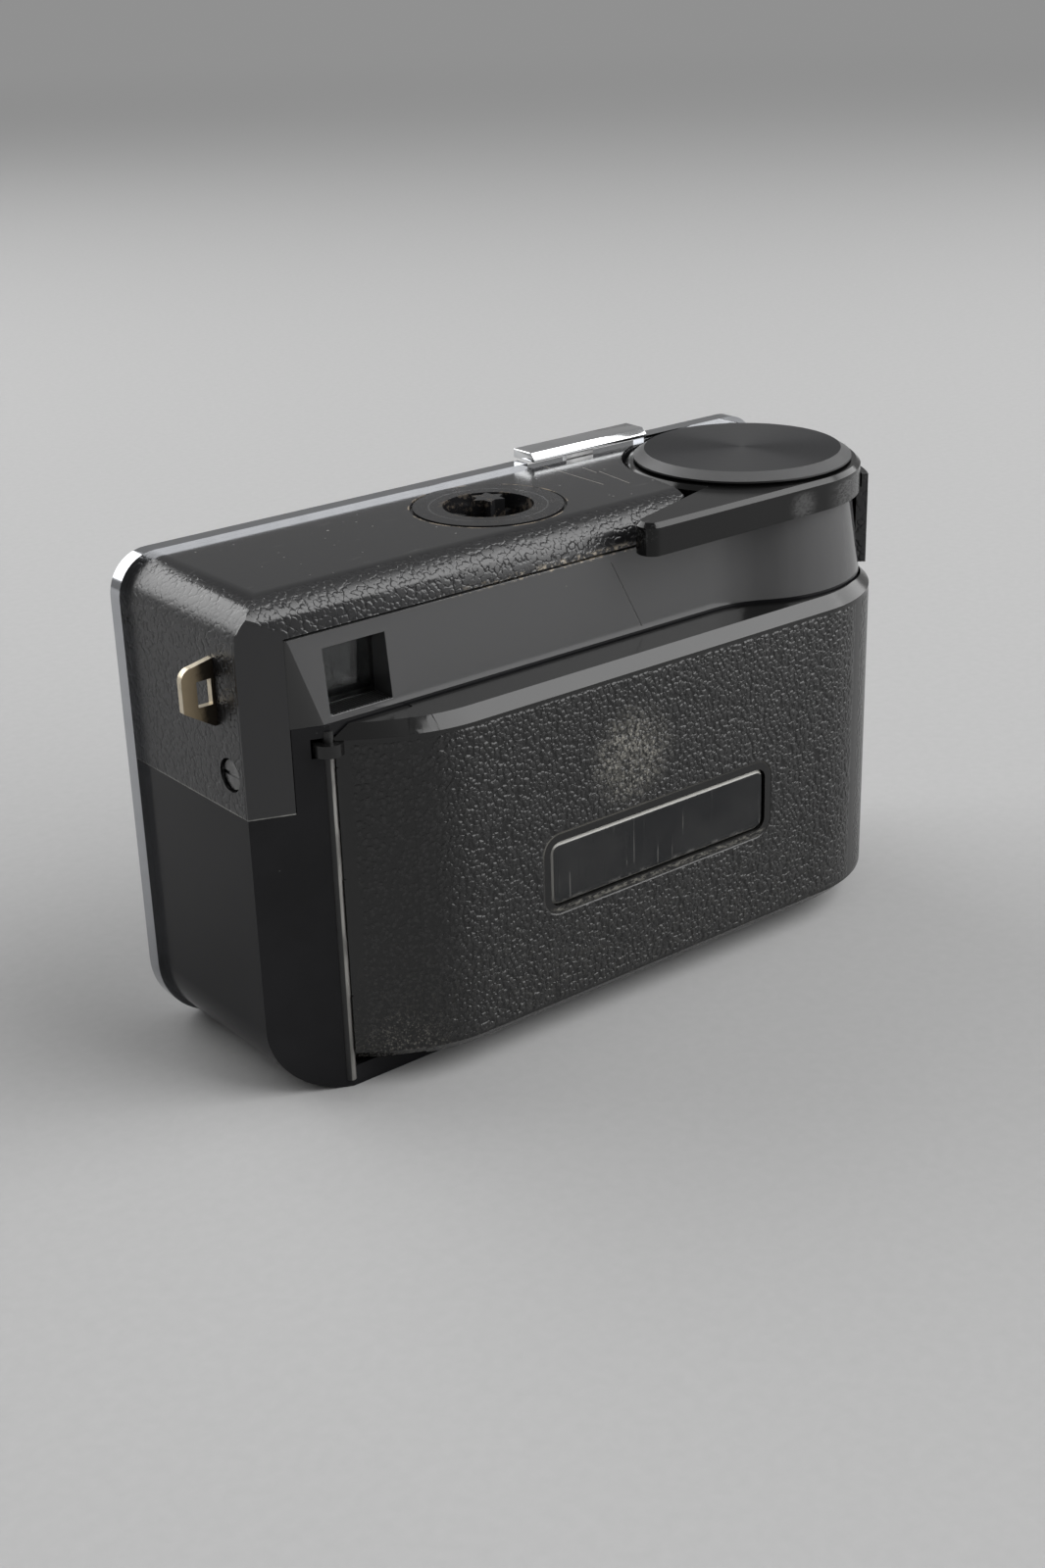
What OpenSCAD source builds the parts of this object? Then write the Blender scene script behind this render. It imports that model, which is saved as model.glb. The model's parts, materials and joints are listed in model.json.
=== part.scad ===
// Cartridge film camera, built as an assembly of separate pieces.
// The lens looks along -Y, the film door faces +Y, and the base lies on Z = 0.
// X = 0 is the middle of the case's width and Y = 0 the middle of its depth.

/* [Case] */
// Width over the two side faces
body_w = 108; // [106:1:116]
// Depth from the rim's front to the door's back
case_d = 38.7; // [38:0.1:42]
// Height of the cover's top above the base
body_h = 66; // [65:0.5:72]
// Wall of the lower body and of the cover
wall = 1.6; // [1.4:0.1:1.8]
// Radius of the two lower side edges
base_edge_r = 10; // [8:0.5:11]
// Radius of the cover's upper edges
cover_edge_r = 5.5; // [4:0.5:6]
// Height of the seam between cover and body on the finder side
seam_z = 39; // [36:0.5:42]
// Height of the deck's upper face
deck_z = 50; // [49.5:0.1:51]
// Angle of the slanted strip beside the hinge
facet_deg = 21.3; // [18:0.1:24]
// How far the side face ends before the door's back
facet_drop = 10.85; // [10:0.05:11.5]

/* [Rim] */
// Depth of the rim
rim_depth = 2.35; // [2:0.05:3]
// How far the rim stands proud of the sides
rim_proud = 0.9; // [0.5:0.1:1.2]
// How far the rim stands proud of the cover's top
rim_rise = 0.5; // [0.2:0.1:0.8]
// Width of the rim, seen from the front
rim_w = 1.8; // [1.5:0.1:2.4]

/* [Finder] */
// Height of the finder panel's top edge below the cover's top
panel_drop = 4.6; // [4:0.1:5]
// How far the panel's foot lies before the door's back
panel_back = 7.25; // [6.8:0.05:7.6]
// How much the panel leans forward over its height
panel_lean = 1.4; // [0.8:0.1:1.8]
// Wall of the finder panel
panel_wall = 1.5; // [1.2:0.1:1.8]
// Distance of the eyepiece's centre from the side face
eye_in = 15.1; // [14:0.1:16]
// Width of the eyepiece opening
eye_w = 9.1; // [8:0.1:10]
// Height of the eyepiece opening
eye_h = 8.3; // [7:0.1:8.6]
// Width of the front finder window
front_window_w = 12; // [10:0.5:13]
// Height of the front finder window
front_window_h = 8.6; // [7:0.1:9]

/* [Winding] */
// Radius of the round end that houses the winding lever
hub_r = 18; // [17.8:0.1:18.6]
// Radius of the lever's ring
ring_r = 16.7; // [16:0.1:16.8]
// Length of the lever from its axis to the tip
lever_len = 34.6; // [30:0.1:35]
// Thickness of the lever
lever_t = 4.4; // [4:0.1:4.6]
// Radius of the lever's tip
tip_r = 2; // [1.5:0.1:2.2]
// Angle of the arm's front edge
arm_deg = 15.9; // [14:0.1:17]
// Radius of the disc on the lever
disc_r = 15.4; // [14:0.1:15.8]
// Width of the disc's bevel
disc_bevel = 1.5; // [1:0.1:2]
// How far the disc stands above the cover's top
disc_rise = 1.4; // [1:0.1:2]
// Radius of the lever shaft
shaft_r = 3; // [2.6:0.1:3.2]

/* [Gears] */
// Module of the three gears
gear_module = 0.756; // [0.74:0.002:0.76]
// Teeth on the lever's gear
lever_teeth = 36; // [34:1:37]
// Teeth on the idler gear
idler_teeth = 27; // [25:1:29]
// Teeth on the flash socket's gear
socket_teeth = 21; // [19:1:23]
// Width of the gears
gear_w = 2.2; // [1.6:0.1:2.6]

/* [Flash socket] */
// Direction of the socket, seen from the lever's axis
socket_deg = -7; // [-8:0.5:-5]
// Outer radius of the socket's ring
socket_ring_r = 10.5; // [10:0.1:11]
// Radius of the socket's opening
socket_r = 6.1; // [5.8:0.1:6.6]
// Depth of the socket
socket_depth = 7.5; // [6.5:0.1:7.8]
// Height of the star on the turning hub
star_h = 7.4; // [6:0.1:7.6]

/* [Shutter release] */
// Distance of the release bar's inner end from the middle
release_in = 10.9; // [10:0.1:12]
// Length of the release bar
release_len = 21.3; // [20:0.1:22]
// Height of the release bar
release_h = 1.3; // [1:0.1:2]
// Travel of the release bar
release_travel = 1; // [0.8:0.1:1]

/* [Door] */
// Wall of the door
door_t = 1.8; // [1.5:0.1:2]
// Height of the door's lower edge
door_z0 = 3.1; // [2.8:0.1:3.6]
// Gap between the door's upper edge and the deck's upper face
door_gap = 0.4; // [0.3:0.05:0.6]
// Bevel along the door's upper and lower edges
door_bevel = 1.6; // [1.2:0.1:1.7]
// Distance from the side face at which the door turns parallel to the front
door_bend_in = 19.7; // [18:0.1:22]
// Radius of that bend
door_bend_r = 6; // [3:0.5:10]
// Width of the door's window
window_w = 38.6; // [34:0.1:40]
// Height of the door's window
window_h = 9.2; // [8:0.1:10]
// Middle of the window, left of the case's middle
window_x = -3.1; // [-5:0.1:0]
// Height of the window's middle
window_z = 23.3; // [20:0.1:26]
// Corner radius of the window
window_r = 1.6; // [1:0.1:2]

/* [Hinge] */
// Radius of the hinge pin
pin_r = 0.7; // [0.6:0.05:0.8]
// Distance of the hinge pin from the side face
pin_in = 9.9; // [9.5:0.1:10.5]
// Wall of the door's hinge hook
hook_t = 1.2; // [1:0.1:1.3]
// Upper end of the pin's visible stretch
pin_show_z = 45.9; // [45.5:0.1:46.2]

/* [Cartridge space] */
// Length of the cartridge space
cart_w = 87; // [86:0.5:87.5]
// Height of the cartridge space
cart_h = 42; // [41.5:0.1:42.2]
// Radius of the take-up chamber
takeup_r = 14; // [13.5:0.1:14]
// Radius of the supply chamber
supply_r = 12.4; // [12:0.1:13]
// Wall of the cartridge frame
frame_wall = 1.2; // [1:0.1:1.2]
// Width and height of the picture gate
gate_size = 28; // [26:0.5:28.5]
// Place of the picture gate's film side
gate_y = 6.2; // [5.5:0.1:7]

/* [Lens] */
// Radius of the lens mount
mount_r = 14; // [12:0.5:15]
// How far the lens stands before the rim
lens_out = 14; // [10:0.5:16]
// Radius of the exposure ring
exposure_r = 12.6; // [11:0.1:13]
// Radius of the lens element
lens_r = 5; // [4:0.1:6]
// Radius of the shutter's opening
aperture_r = 3; // [2:0.1:3.2]

/* [Strap lug] */
// Thickness of the lug
lug_t = 1; // [0.8:0.1:1.2]
// How far the lug stands out of the side
lug_out = 4.4; // [4:0.1:6]
// Height of the lug at its root
lug_h = 8.6; // [8:0.1:10]
// Place of the lug along the side
lug_y = 2.8; // [2:0.1:4]

/* [Hidden] */

$fn = 96;
eps = 0.01;
far = 200;
run_gap = 0.05;
seat_gap = 0.3;

// Heights and depths inside follow those of the case, which are 66 and 38.7 by default
tall = body_h / 66;
deep = case_d / 38.7;
deck_level = deck_z * tall;
seam_level = seam_z * tall;
room_h = cart_h * tall;
pin_show = pin_show_z * tall;
window_level = window_z * tall;
eye_open_h = eye_h * tall;
front_open_h = front_window_h * tall;
lug_len = lug_h * tall;
lug_at = lug_y * deep;
gate_open = gate_size * tall;

// Case
side_x = body_w / 2;
back_y = case_d / 2;
rim_front_y = -case_d / 2;
case_front_y = rim_front_y + rim_depth;
front_in_y = case_front_y + wall;
facet_y0 = back_y - facet_drop;
deck_t = wall;
deck_under_z = deck_level - deck_t;
floor_z = 2;
rim_top_r = cover_edge_r;
plate_t = 1.9;
plate_front_y = case_front_y - plate_t;

// Finder panel
panel_top_z = body_h - panel_drop;
panel_foot_y = back_y - panel_back;
panel_top_y = panel_foot_y - panel_lean;
panel_h = panel_top_z - deck_level;
blend_r = 15;
base_back_y = panel_foot_y + 0.3;
base_end_r = back_y - 2.3;
panel_hub_r = hub_r - 1.1;
skirt_x = side_x - 5.5;
eye_x = side_x - eye_in;
eye_lip = 0.7;
eye_z = deck_level + eye_lip + 0.15 + eye_open_h / 2;
glass_t = 1.2;
eye_glass_y = facet_y0 + tan(facet_deg) * (side_x - skirt_x) - panel_wall / cos(facet_deg) - 1 - glass_t;
tunnel_wall = 1;
front_glass_y = case_front_y;

// Winding
hub_x = -side_x + hub_r;
hub_y = 0;
well_r = ring_r + 0.4;
wall_end_deg = 140;
wall_top_z = body_h - 3;
lever_top_z = body_h - 0.2;
lever_z = lever_top_z - lever_t;
well_floor_z = lever_z - seat_gap;
well_floor_t = 1.4;
disc_top_z = body_h + disc_rise;
disc_edge_z = disc_top_z - 1;
disc_neck_r = disc_r - disc_bevel;
tip_c = [lever_len - tip_r, ring_r - tip_r];
arm_dir = [cos(arm_deg), sin(arm_deg)];
arm_side = [sin(arm_deg), -cos(arm_deg)];
arm_run = 20;
slot_gap = 0.6;

// Gears
gear_z = deck_level + 2.6;
lever_pitch_r = gear_module * lever_teeth / 2;
idler_pitch_r = gear_module * idler_teeth / 2;
socket_pitch_r = gear_module * socket_teeth / 2;
idler_dist = lever_pitch_r + idler_pitch_r;
socket_dist = idler_dist + idler_pitch_r + socket_pitch_r;
idler_pos = [hub_x + idler_dist * cos(socket_deg), hub_y + idler_dist * sin(socket_deg)];
socket_pos = [hub_x + socket_dist * cos(socket_deg), hub_y + socket_dist * sin(socket_deg)];
// Rest angles that put a gap of each gear over the tooth of the one before it
function from_tooth(teeth, angle) = angle - floor(angle * teeth / 360 + 0.5) * 360 / teeth;
idler_turn = 180 + socket_deg + 180 / idler_teeth
  + from_tooth(lever_teeth, socket_deg) * lever_teeth / idler_teeth;
socket_turn = 180 + socket_deg + 180 / socket_teeth
  + from_tooth(idler_teeth, socket_deg - idler_turn) * idler_teeth / socket_teeth;
stud_r = 1.5;
bush_r = shaft_r + 1.6;
spring_z = gear_z + gear_w + 0.6;
spring_h = 1.6;
socket_floor_z = body_h - socket_depth;
socket_floor_t = 1.2;

// Shutter release
release_back_y = case_front_y + 1;
release_front_y = rim_front_y - 1.2;
release_gap = 0.15;
release_z = body_h + rim_rise + release_gap;
recess_z = release_z - release_travel - release_gap;
stem_w = 5;
stem_t = 0.8;
stem_x = -release_in - release_len * 0.4;
stem_y = case_front_y + 0.15;
stem_cut = 1.2;

// Door
door_z1 = deck_level - door_gap;
door_end_x = -side_x + back_y;
door_wrap_y = 6;
pin_x = side_x - pin_in;
pin_y = facet_y(pin_x) - 0.4;
hook_r = pin_r + run_gap + hook_t;
pocket_r = hook_r + seat_gap;
door_edge_x = pin_x - 0.5;
door_edge_y = facet_y(door_edge_x) + 0.25;
bend_x = side_x - door_bend_in;
door_slope = atan((back_y - door_edge_y) / (door_edge_x - bend_x));
knuckle_z = pin_show + 0.3;
knuckle_h = 1.6;
strip_step = 0.1;
pin_z0 = 1;
pin_z1 = deck_under_z + 0.8;

// Cartridge space
takeup_x = hub_x;
cart_x0 = takeup_x - takeup_r;
cart_x1 = cart_x0 + cart_w;
supply_x = cart_x1 - supply_r;
cart_z1 = deck_under_z - 2;
cart_z0 = cart_z1 - room_h;
chamber_y = front_in_y + 0.2 + frame_wall + takeup_r;
gate_t = 1.6;
gate_x = (takeup_x + takeup_r + supply_x - supply_r) / 2;
cart_z = (cart_z0 + cart_z1) / 2;
frame_back_y = panel_foot_y - 0.3;

// Lens
lens_x = gate_x;
lens_z = cart_z;
lens_front_y = rim_front_y - lens_out;
tube_r = exposure_r - 2.4;
barrel_bore_r = 6.4;
shutter_t = 0.8;
shutter_y = front_in_y;
blade_t = 0.5;
blade_y = shutter_y + shutter_t + 0.2;
blade_arm = 13;
pivot_r = 1;
pivot_z = lens_z + blade_arm;
tail_len = 4.4;
tail_h = 1.2;
arm_t = 2;
arm_z = pivot_z + tail_h + seat_gap + arm_t;
stem_z0 = arm_z - arm_t;

// Small fittings in the case
screw_y = facet_y0 - 3.4;
screw_z = seam_level + 5;
screw_r = 0.85;
lug_z = deck_level;
pillar_x = cart_x1 + frame_wall + 5.4;
inner_side = 2 * wall + run_gap - 0.4;
throat_r = 9;
sense_x = gate_x + 13.6;
sense_y = gate_y - gate_t - 2.2;
sense_z = cart_z0 + 0.1 * room_h;
sense_h = 1.8;
sense_pin_r = 0.8;

// Tangent-plane height of the slanted strip, moved inwards by inset
function facet_y(x, inset = 0) = facet_y0 + tan(facet_deg) * (side_x - x) - inset / cos(facet_deg);

// Solid between two heights on Y from a shape drawn in X and Z
module along_y(y0, y1) {
  translate([0, y1, 0]) rotate([90, 0, 0]) linear_extrude(y1 - y0) children();
}

// Solid between two heights on X from a shape drawn in Y and Z
module along_x(x0, x1) {
  translate([x0, 0, 0]) rotate([90, 0, 90]) linear_extrude(x1 - x0) children();
}

module corner_bite(x, z, sx, sz, r) {
  difference() {
    translate([min(x, x - sx * r), min(z, z - sz * r)]) square(r);
    translate([x - sx * r, z - sz * r]) circle(r);
  }
}

// Front outline of the case, narrowed by inset
module front_shape(inset, z0, z1, top_r, low_r) {
  w = side_x - inset;
  difference() {
    translate([-w, z0]) square([2 * w, z1 - z0]);
    for (s = [-1, 1]) {
      corner_bite(s * w, z1, s, 1, top_r);
      corner_bite(s * w, z0, s, -1, low_r);
    }
  }
}

// Plan of the base and the deck, before the slanted strip is cut
module base_plan(back, end_r) {
  polygon([
    [-side_x, case_front_y],
    [side_x, case_front_y],
    [side_x, back],
    [door_end_x, back],
    [door_end_x, door_wrap_y - seat_gap],
    [-side_x, door_wrap_y - seat_gap]
  ]);
  intersection() {
    translate([door_end_x, 0]) circle(end_r);
    translate([-far, case_front_y]) square([far + door_end_x + eps, back - case_front_y]);
  }
}

// Plan of the finder panel with its round end, moved inwards by inset
module panel_plan(inset) {
  flat_x = hub_x + sqrt(pow(panel_hub_r + blend_r, 2) - pow(panel_foot_y + blend_r, 2));
  polygon([
    [hub_x, 0],
    [skirt_x, 0],
    [skirt_x, facet_y(skirt_x, inset)],
    [side_x - (panel_foot_y - inset - facet_y(side_x, inset)) / tan(facet_deg), panel_foot_y - inset],
    [flat_x, panel_foot_y - inset],
    [hub_x, panel_foot_y - inset]
  ]);
  translate([hub_x, hub_y]) circle(panel_hub_r - inset);
  difference() {
    polygon([[hub_x, 0], [flat_x, 0], [flat_x, panel_foot_y + blend_r]]);
    translate([flat_x, panel_foot_y + blend_r]) circle(blend_r + inset);
  }
}

// Finder panel's body: a leaning flat, a hollow blend and a tapered round end
module panel_form(inset) {
  flat_x = hub_x + sqrt(pow(panel_hub_r + blend_r, 2) - pow(panel_foot_y + blend_r, 2));
  intersection() {
    along_x(flat_x - eps, skirt_x) {
      polygon([
        [0, deck_level],
        [panel_foot_y - inset, deck_level],
        [panel_top_y - inset, panel_top_z],
        [0, panel_top_z]
      ]);
    }
    translate([0, 0, deck_level]) linear_extrude(panel_h) {
      polygon([
        [hub_x, 0],
        [skirt_x, 0],
        [skirt_x, facet_y(skirt_x, inset)],
        [hub_x, facet_y(hub_x, inset)]
      ]);
    }
  }
  translate([hub_x, hub_y, deck_level]) {
    cylinder(h = panel_h, r1 = panel_hub_r - inset, r2 = panel_hub_r - inset - panel_lean);
  }
  difference() {
    translate([0, 0, deck_level]) linear_extrude(panel_h) {
      polygon([[hub_x, 0], [flat_x, 0], [flat_x, panel_foot_y + blend_r]]);
    }
    translate([flat_x, panel_foot_y + blend_r, deck_level]) {
      cylinder(h = panel_h, r1 = blend_r + inset, r2 = blend_r + inset + panel_lean);
    }
  }
}

// Outer form of the cover, moved inwards by inset
module cover_form(inset) {
  r = cover_edge_r - inset;
  y = panel_top_y - inset;
  z = body_h - inset;
  intersection() {
    along_y(case_front_y, far) front_shape(inset, -far, z, r, eps);
    translate([0, 0, seam_level]) linear_extrude(far) {
      polygon([
        [hub_x, case_front_y],
        [side_x - inset, case_front_y],
        [side_x - inset, facet_y(side_x - inset, inset)],
        [hub_x, facet_y(hub_x, inset)]
      ]);
      translate([hub_x, hub_y]) circle(hub_r - inset);
      translate([-side_x + inset, case_front_y]) square([hub_r + eps, hub_y - case_front_y]);
    }
    union() {
      along_x(-far, far) {
        polygon([
          [-far, -far],
          [far, -far],
          [far, panel_top_z - 0.6],
          [y, panel_top_z - 0.6],
          [y, z - r],
          [y - r, z],
          [-far, z]
        ]);
        translate([y - r, z - r]) circle(r);
      }
      translate([hub_x, hub_y, 0]) cylinder(h = z, r = hub_r - inset);
    }
  }
}

// Plan of the lever: ring and pointed arm, grown by gap
module lever_plan(gap) {
  start = tip_c + (tip_r + gap) * arm_side;
  circle(ring_r + gap);
  translate(tip_c) circle(tip_r + gap);
  polygon([
    [0, 0],
    [0, ring_r + gap],
    [tip_c[0], ring_r + gap],
    tip_c,
    start,
    start - arm_run * arm_dir
  ]);
}

// Plan of the space that the lever needs in the cover, grown by gap
module slot_plan(gap) {
  start = tip_c + (tip_r + slot_gap + gap) * arm_side;
  corner = start - 15.5 * arm_dir;
  circle(well_r + gap);
  polygon([
    [0, 0],
    [well_r + gap, 0],
    corner,
    start + 2.4 * arm_dir,
    [start[0] + 2.4 + gap, far],
    [far * cos(wall_end_deg), far * sin(wall_end_deg)]
  ]);
}

module at_hub(z) {
  translate([hub_x, hub_y, z]) children();
}

module at_socket(z) {
  translate([socket_pos[0], socket_pos[1], z]) children();
}

module at_lens(y) {
  translate([lens_x, y, lens_z]) rotate([-90, 0, 0]) children();
}

// Gear with straight-flanked teeth, one tooth centred on +X
module gear_shape(teeth, bore) {
  pitch = gear_module * teeth / 2;
  outer = pitch + gear_module * 0.9;
  root = pitch - gear_module * 1.15;
  step = 360 / teeth;
  difference() {
    polygon([
      for (i = [0 : teeth - 1])
        each [
          root * [cos((i - 0.36) * step), sin((i - 0.36) * step)],
          pitch * [cos((i - 0.23) * step), sin((i - 0.23) * step)],
          outer * [cos((i - 0.1) * step), sin((i - 0.1) * step)],
          outer * [cos((i + 0.1) * step), sin((i + 0.1) * step)],
          pitch * [cos((i + 0.23) * step), sin((i + 0.23) * step)],
          root * [cos((i + 0.36) * step), sin((i + 0.36) * step)]
        ]
    ]);
    circle(bore);
  }
}

// Bosses that the cartridge frame is screwed to
frame_screw_points = [
  [gate_x, cart_z0 + 2.6],
  [gate_x, cart_z1 - 2.6],
  [cart_x1 + frame_wall + 2.2, cart_z0 + 4],
  [cart_x1 + frame_wall + 2.2, cart_z1 - 4]
];
ear_front_y = gate_y - gate_t;

module lower_body() {
  color("#101011") difference() {
    union() {
      // Base, deck, walls and pillar share the front outline and the slanted strip
      intersection() {
        along_y(case_front_y, far) front_shape(0, 0, deck_level + 60, 1, base_edge_r);
        facet_side();
        union() {
          hinge_pillar();
          linear_extrude(door_z0 - seat_gap) base_plan(base_back_y, base_end_r);
          translate([0, 0, deck_under_z]) linear_extrude(deck_t) {
            base_plan(panel_foot_y, base_end_r);
            panel_plan(0);
          }
          linear_extrude(deck_level) difference() {
            wall_plan();
            wall_plan_inside();
          }
        }
      }
      // Boss for the side screw, and the post of the sensing finger
      translate([side_x - wall - run_gap - 5, screw_y, screw_z]) rotate([0, 90, 0]) {
        cylinder(h = 5, r = 2.2, $fn = 32);
      }
      translate([sense_x, sense_y, floor_z]) {
        cylinder(h = sense_z - sense_h / 2 - run_gap - floor_z, r = 1.6, $fn = 32);
      }
      // Screw bosses for the cartridge frame
      for (p = frame_screw_points) {
        translate([p[0], front_in_y - eps, p[1]]) rotate([-90, 0, 0]) {
          cylinder(h = ear_front_y - front_in_y + eps, r = 2, $fn = 32);
        }
      }
    }
    // Hollow of the base
    intersection() {
      along_y(front_in_y, far) {
        front_shape(wall, floor_z, deck_under_z, 0.2, base_edge_r - wall);
      }
      translate([0, 0, floor_z]) linear_extrude(deck_under_z - floor_z) difference() {
        wall_plan_inside();
        translate([pillar_x, facet_y(side_x) - 2]) square([20, 20]);
      }
    }
    // Pin seat, hook pocket and knuckle pocket
    translate([pin_x, pin_y, pin_z0]) cylinder(h = pin_z1 - pin_z0, r = pin_r);
    translate([0, 0, door_z0 - seat_gap]) linear_extrude(deck_under_z - door_z0 + seat_gap) {
      intersection() {
        translate([pin_x, pin_y]) circle(pocket_r);
        translate([pin_x - 10, pin_y - 10]) square([10.3, 20]);
      }
    }
    translate([pin_x, pin_y, pin_show]) {
      cylinder(h = deck_under_z - pin_show, r = pocket_r);
    }
    // Ledge under the cover's skirt
    translate([0, 0, seam_level]) linear_extrude(far) difference() {
      translate([skirt_x - 0.1, case_front_y - 1]) square([20, 60]);
      skirt_inside();
    }
    // Front openings for the lens, the release stem and its finger
    at_lens(case_front_y - 1) cylinder(h = 6, r = throat_r);
    translate([stem_x - stem_w / 2 - 0.3, case_front_y - 1, stem_z0 - 4]) {
      cube([stem_w + 0.6, 1 + stem_cut, 40]);
    }
    translate([stem_x, case_front_y - 1, stem_z0 - release_travel - seat_gap]) {
      cube([lens_x - 2.6 - stem_x, 1 + stem_cut, arm_t + release_travel + 2 * seat_gap]);
    }
    translate([lens_x - tail_len - 0.8, case_front_y - 1, stem_z0 - release_travel - seat_gap]) {
      cube([tail_len - 1.8, 6, arm_t + release_travel + 2 * seat_gap]);
    }
    // Deck openings for the bush, and the latch slot in the end wall
    at_hub(deck_under_z - 1) cylinder(h = 6, r = bush_r);
    translate([-side_x - 1, -9.6, cart_z - 4]) cube([wall + 2, 2.2, 11]);
    // Pilot holes
    for (p = frame_screw_points) {
      translate([p[0], ear_front_y - 8, p[1]]) rotate([-90, 0, 0]) cylinder(h = 9, r = 0.8);
    }
    // Hole for the side screw, and the seat of the sensing pin
    translate([side_x - 8, screw_y, screw_z]) rotate([0, 90, 0]) cylinder(h = 10, r = screw_r);
    translate([sense_x, sense_y, floor_z / 2]) cylinder(h = 20, r = sense_pin_r);
  }
}

// Pillar behind the hinge pin, up to the slanted strip
module hinge_pillar() {
  linear_extrude(deck_level) polygon([
    [pillar_x, facet_y(side_x) - 2],
    [side_x - 1, facet_y(side_x) - 2],
    [side_x - 1, base_back_y],
    [pin_x - 0.2, base_back_y],
    [pin_x - 0.2, pin_y - pocket_r - 1],
    [pillar_x, pin_y - pocket_r - 1]
  ]);
}

// Everything before the slanted strip
module facet_side() {
  linear_extrude(far) polygon([
    [-far, -far],
    [far, -far],
    [far, facet_y(far)],
    [-far, facet_y(-far)]
  ]);
}

module skirt_inside() {
  polygon([
    [-far, -far],
    [side_x - wall - run_gap, -far],
    [side_x - wall - run_gap, facet_y(side_x - wall, wall + run_gap)],
    [-far, facet_y(-far, wall + run_gap)]
  ]);
}

// Plan of the walls, open where the door goes
module wall_plan() {
  polygon([
    [-side_x, case_front_y],
    [side_x, case_front_y],
    [side_x, base_back_y],
    [pin_x, base_back_y],
    [pin_x, door_wrap_y - seat_gap],
    [-side_x, door_wrap_y - seat_gap]
  ]);
}

module wall_plan_inside() {
  x1 = side_x - inner_side;
  polygon([
    [-side_x + wall, front_in_y],
    [x1, front_in_y],
    [x1, facet_y(x1, inner_side)],
    [pin_x - 8, facet_y(pin_x - 8, inner_side)],
    [pin_x - 8, far],
    [-side_x + wall, far]
  ]);
}

// Plan of the cartridge space, grown by grow
module cartridge_plan(grow, back) {
  translate([takeup_x, chamber_y]) circle(takeup_r + grow);
  translate([supply_x, chamber_y]) circle(supply_r + grow);
  translate([cart_x0 - grow, chamber_y]) square([2 * (takeup_r + grow), back - chamber_y]);
  translate([supply_x - supply_r - grow, chamber_y]) {
    square([2 * (supply_r + grow), back - chamber_y]);
  }
  translate([cart_x0 - grow, gate_y - (grow > 0 ? gate_t : 0)]) {
    square([cart_w + 2 * grow, back - gate_y + (grow > 0 ? gate_t : 0)]);
  }
}

module cartridge_frame() {
  color("#1b1b1d") difference() {
    union() {
      translate([0, 0, floor_z]) linear_extrude(deck_under_z - floor_z) intersection() {
        cartridge_plan(frame_wall, frame_back_y);
        door_inside_plan();
        translate([-far, -far]) square([2 * far, far + frame_back_y]);
      }
      for (i = [2, 3]) {
        p = frame_screw_points[i];
        translate([cart_x1 + frame_wall - 0.3, ear_front_y, p[1] - 3]) cube([4.9, gate_t, 6]);
      }
    }
    intersection() {
      translate([0, 0, cart_z0]) linear_extrude(room_h) cartridge_plan(0, far);
      along_y(-far, far) {
        front_shape(wall + run_gap + frame_wall, floor_z + frame_wall, far, 1,
          base_edge_r - wall - frame_wall);
      }
    }
    translate([gate_x - gate_open / 2, ear_front_y - 1, cart_z - gate_open / 2]) {
      cube([gate_open, gate_t + 2, gate_open]);
    }
    difference() {
      translate([-far, -far, -1]) cube([2 * far, 2 * far, floor_z + base_edge_r]);
      along_y(-far - 1, far + 1) front_shape(wall + run_gap, floor_z, far, 1, base_edge_r - wall);
    }
    at_hub(cart_z1 - 1) cylinder(h = 6, r = bush_r + 1.6);
    // Slot for the sensing finger
    translate([sense_x - 6.6, ear_front_y - 1, sense_z - 1.2]) cube([5.4, gate_t + 2, 2.4]);
    for (p = frame_screw_points) {
      translate([p[0], ear_front_y - 1, p[1]]) rotate([-90, 0, 0]) cylinder(h = 6, r = 1.1);
    }
  }
}
module door_inside_plan() {
  translate([-far, -far]) square([2 * far, far]);
  translate([door_end_x, -1]) square([far, far]);
  translate([door_end_x, 0]) circle(back_y - door_t - seat_gap);
}

module frame_screws() {
  color("#b9b9b6") for (p = frame_screw_points) {
    translate([p[0], gate_y, p[1]]) rotate([90, 0, 0]) {
      difference() {
        translate([0, 0, -1]) cylinder(h = 1, r = 1.8, $fn = 32);
        translate([-3, -0.2, -1.5]) cube([6, 0.4, 1]);
      }
      cylinder(h = 7, r = 0.8, $fn = 32);
    }
  }
}

// Stepped box between the shutter and the picture gate
module light_tunnel() {
  steps = 3;
  y0 = blade_y + blade_t + 0.4;
  y1 = ear_front_y;
  d = (y1 - y0) / steps;
  color("#161617") difference() {
    for (i = [0 : steps - 1]) {
      s = 15 + (gate_open + 1 - 15) * (i + 1) / steps;
      translate([lens_x - s / 2, y0 + i * d, lens_z - s / 2]) {
        cube([s, d + (i < steps - 1 ? eps : 0), s]);
      }
    }
    for (i = [0 : steps - 1]) {
      s = 13 + (gate_open - 1 - 13) * (i + 1) / steps;
      translate([lens_x - s / 2, y0 + i * d + 1, lens_z - s / 2]) cube([s, d + eps, s]);
    }
    at_lens(y0 - 1) cylinder(h = 4, r = 5);
  }
}

module release_recess(gap) {
  translate([-release_in - release_len - gap, -far, recess_z]) {
    cube([release_len + 2 * gap, far + release_back_y + gap, far]);
  }
}

// What the cover leaves to the finder panel and the lower body
module panel_room() {
  translate([-far, -far, -far]) cube([far + skirt_x, 2 * far, far + deck_level]);
  translate([0, 0, deck_level - 1]) linear_extrude(panel_top_z - deck_level + 1) polygon([
    [hub_x, hub_y],
    [skirt_x, hub_y],
    [skirt_x, far],
    [hub_x + far * cos(wall_end_deg), far * sin(wall_end_deg)]
  ]);
}

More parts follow.
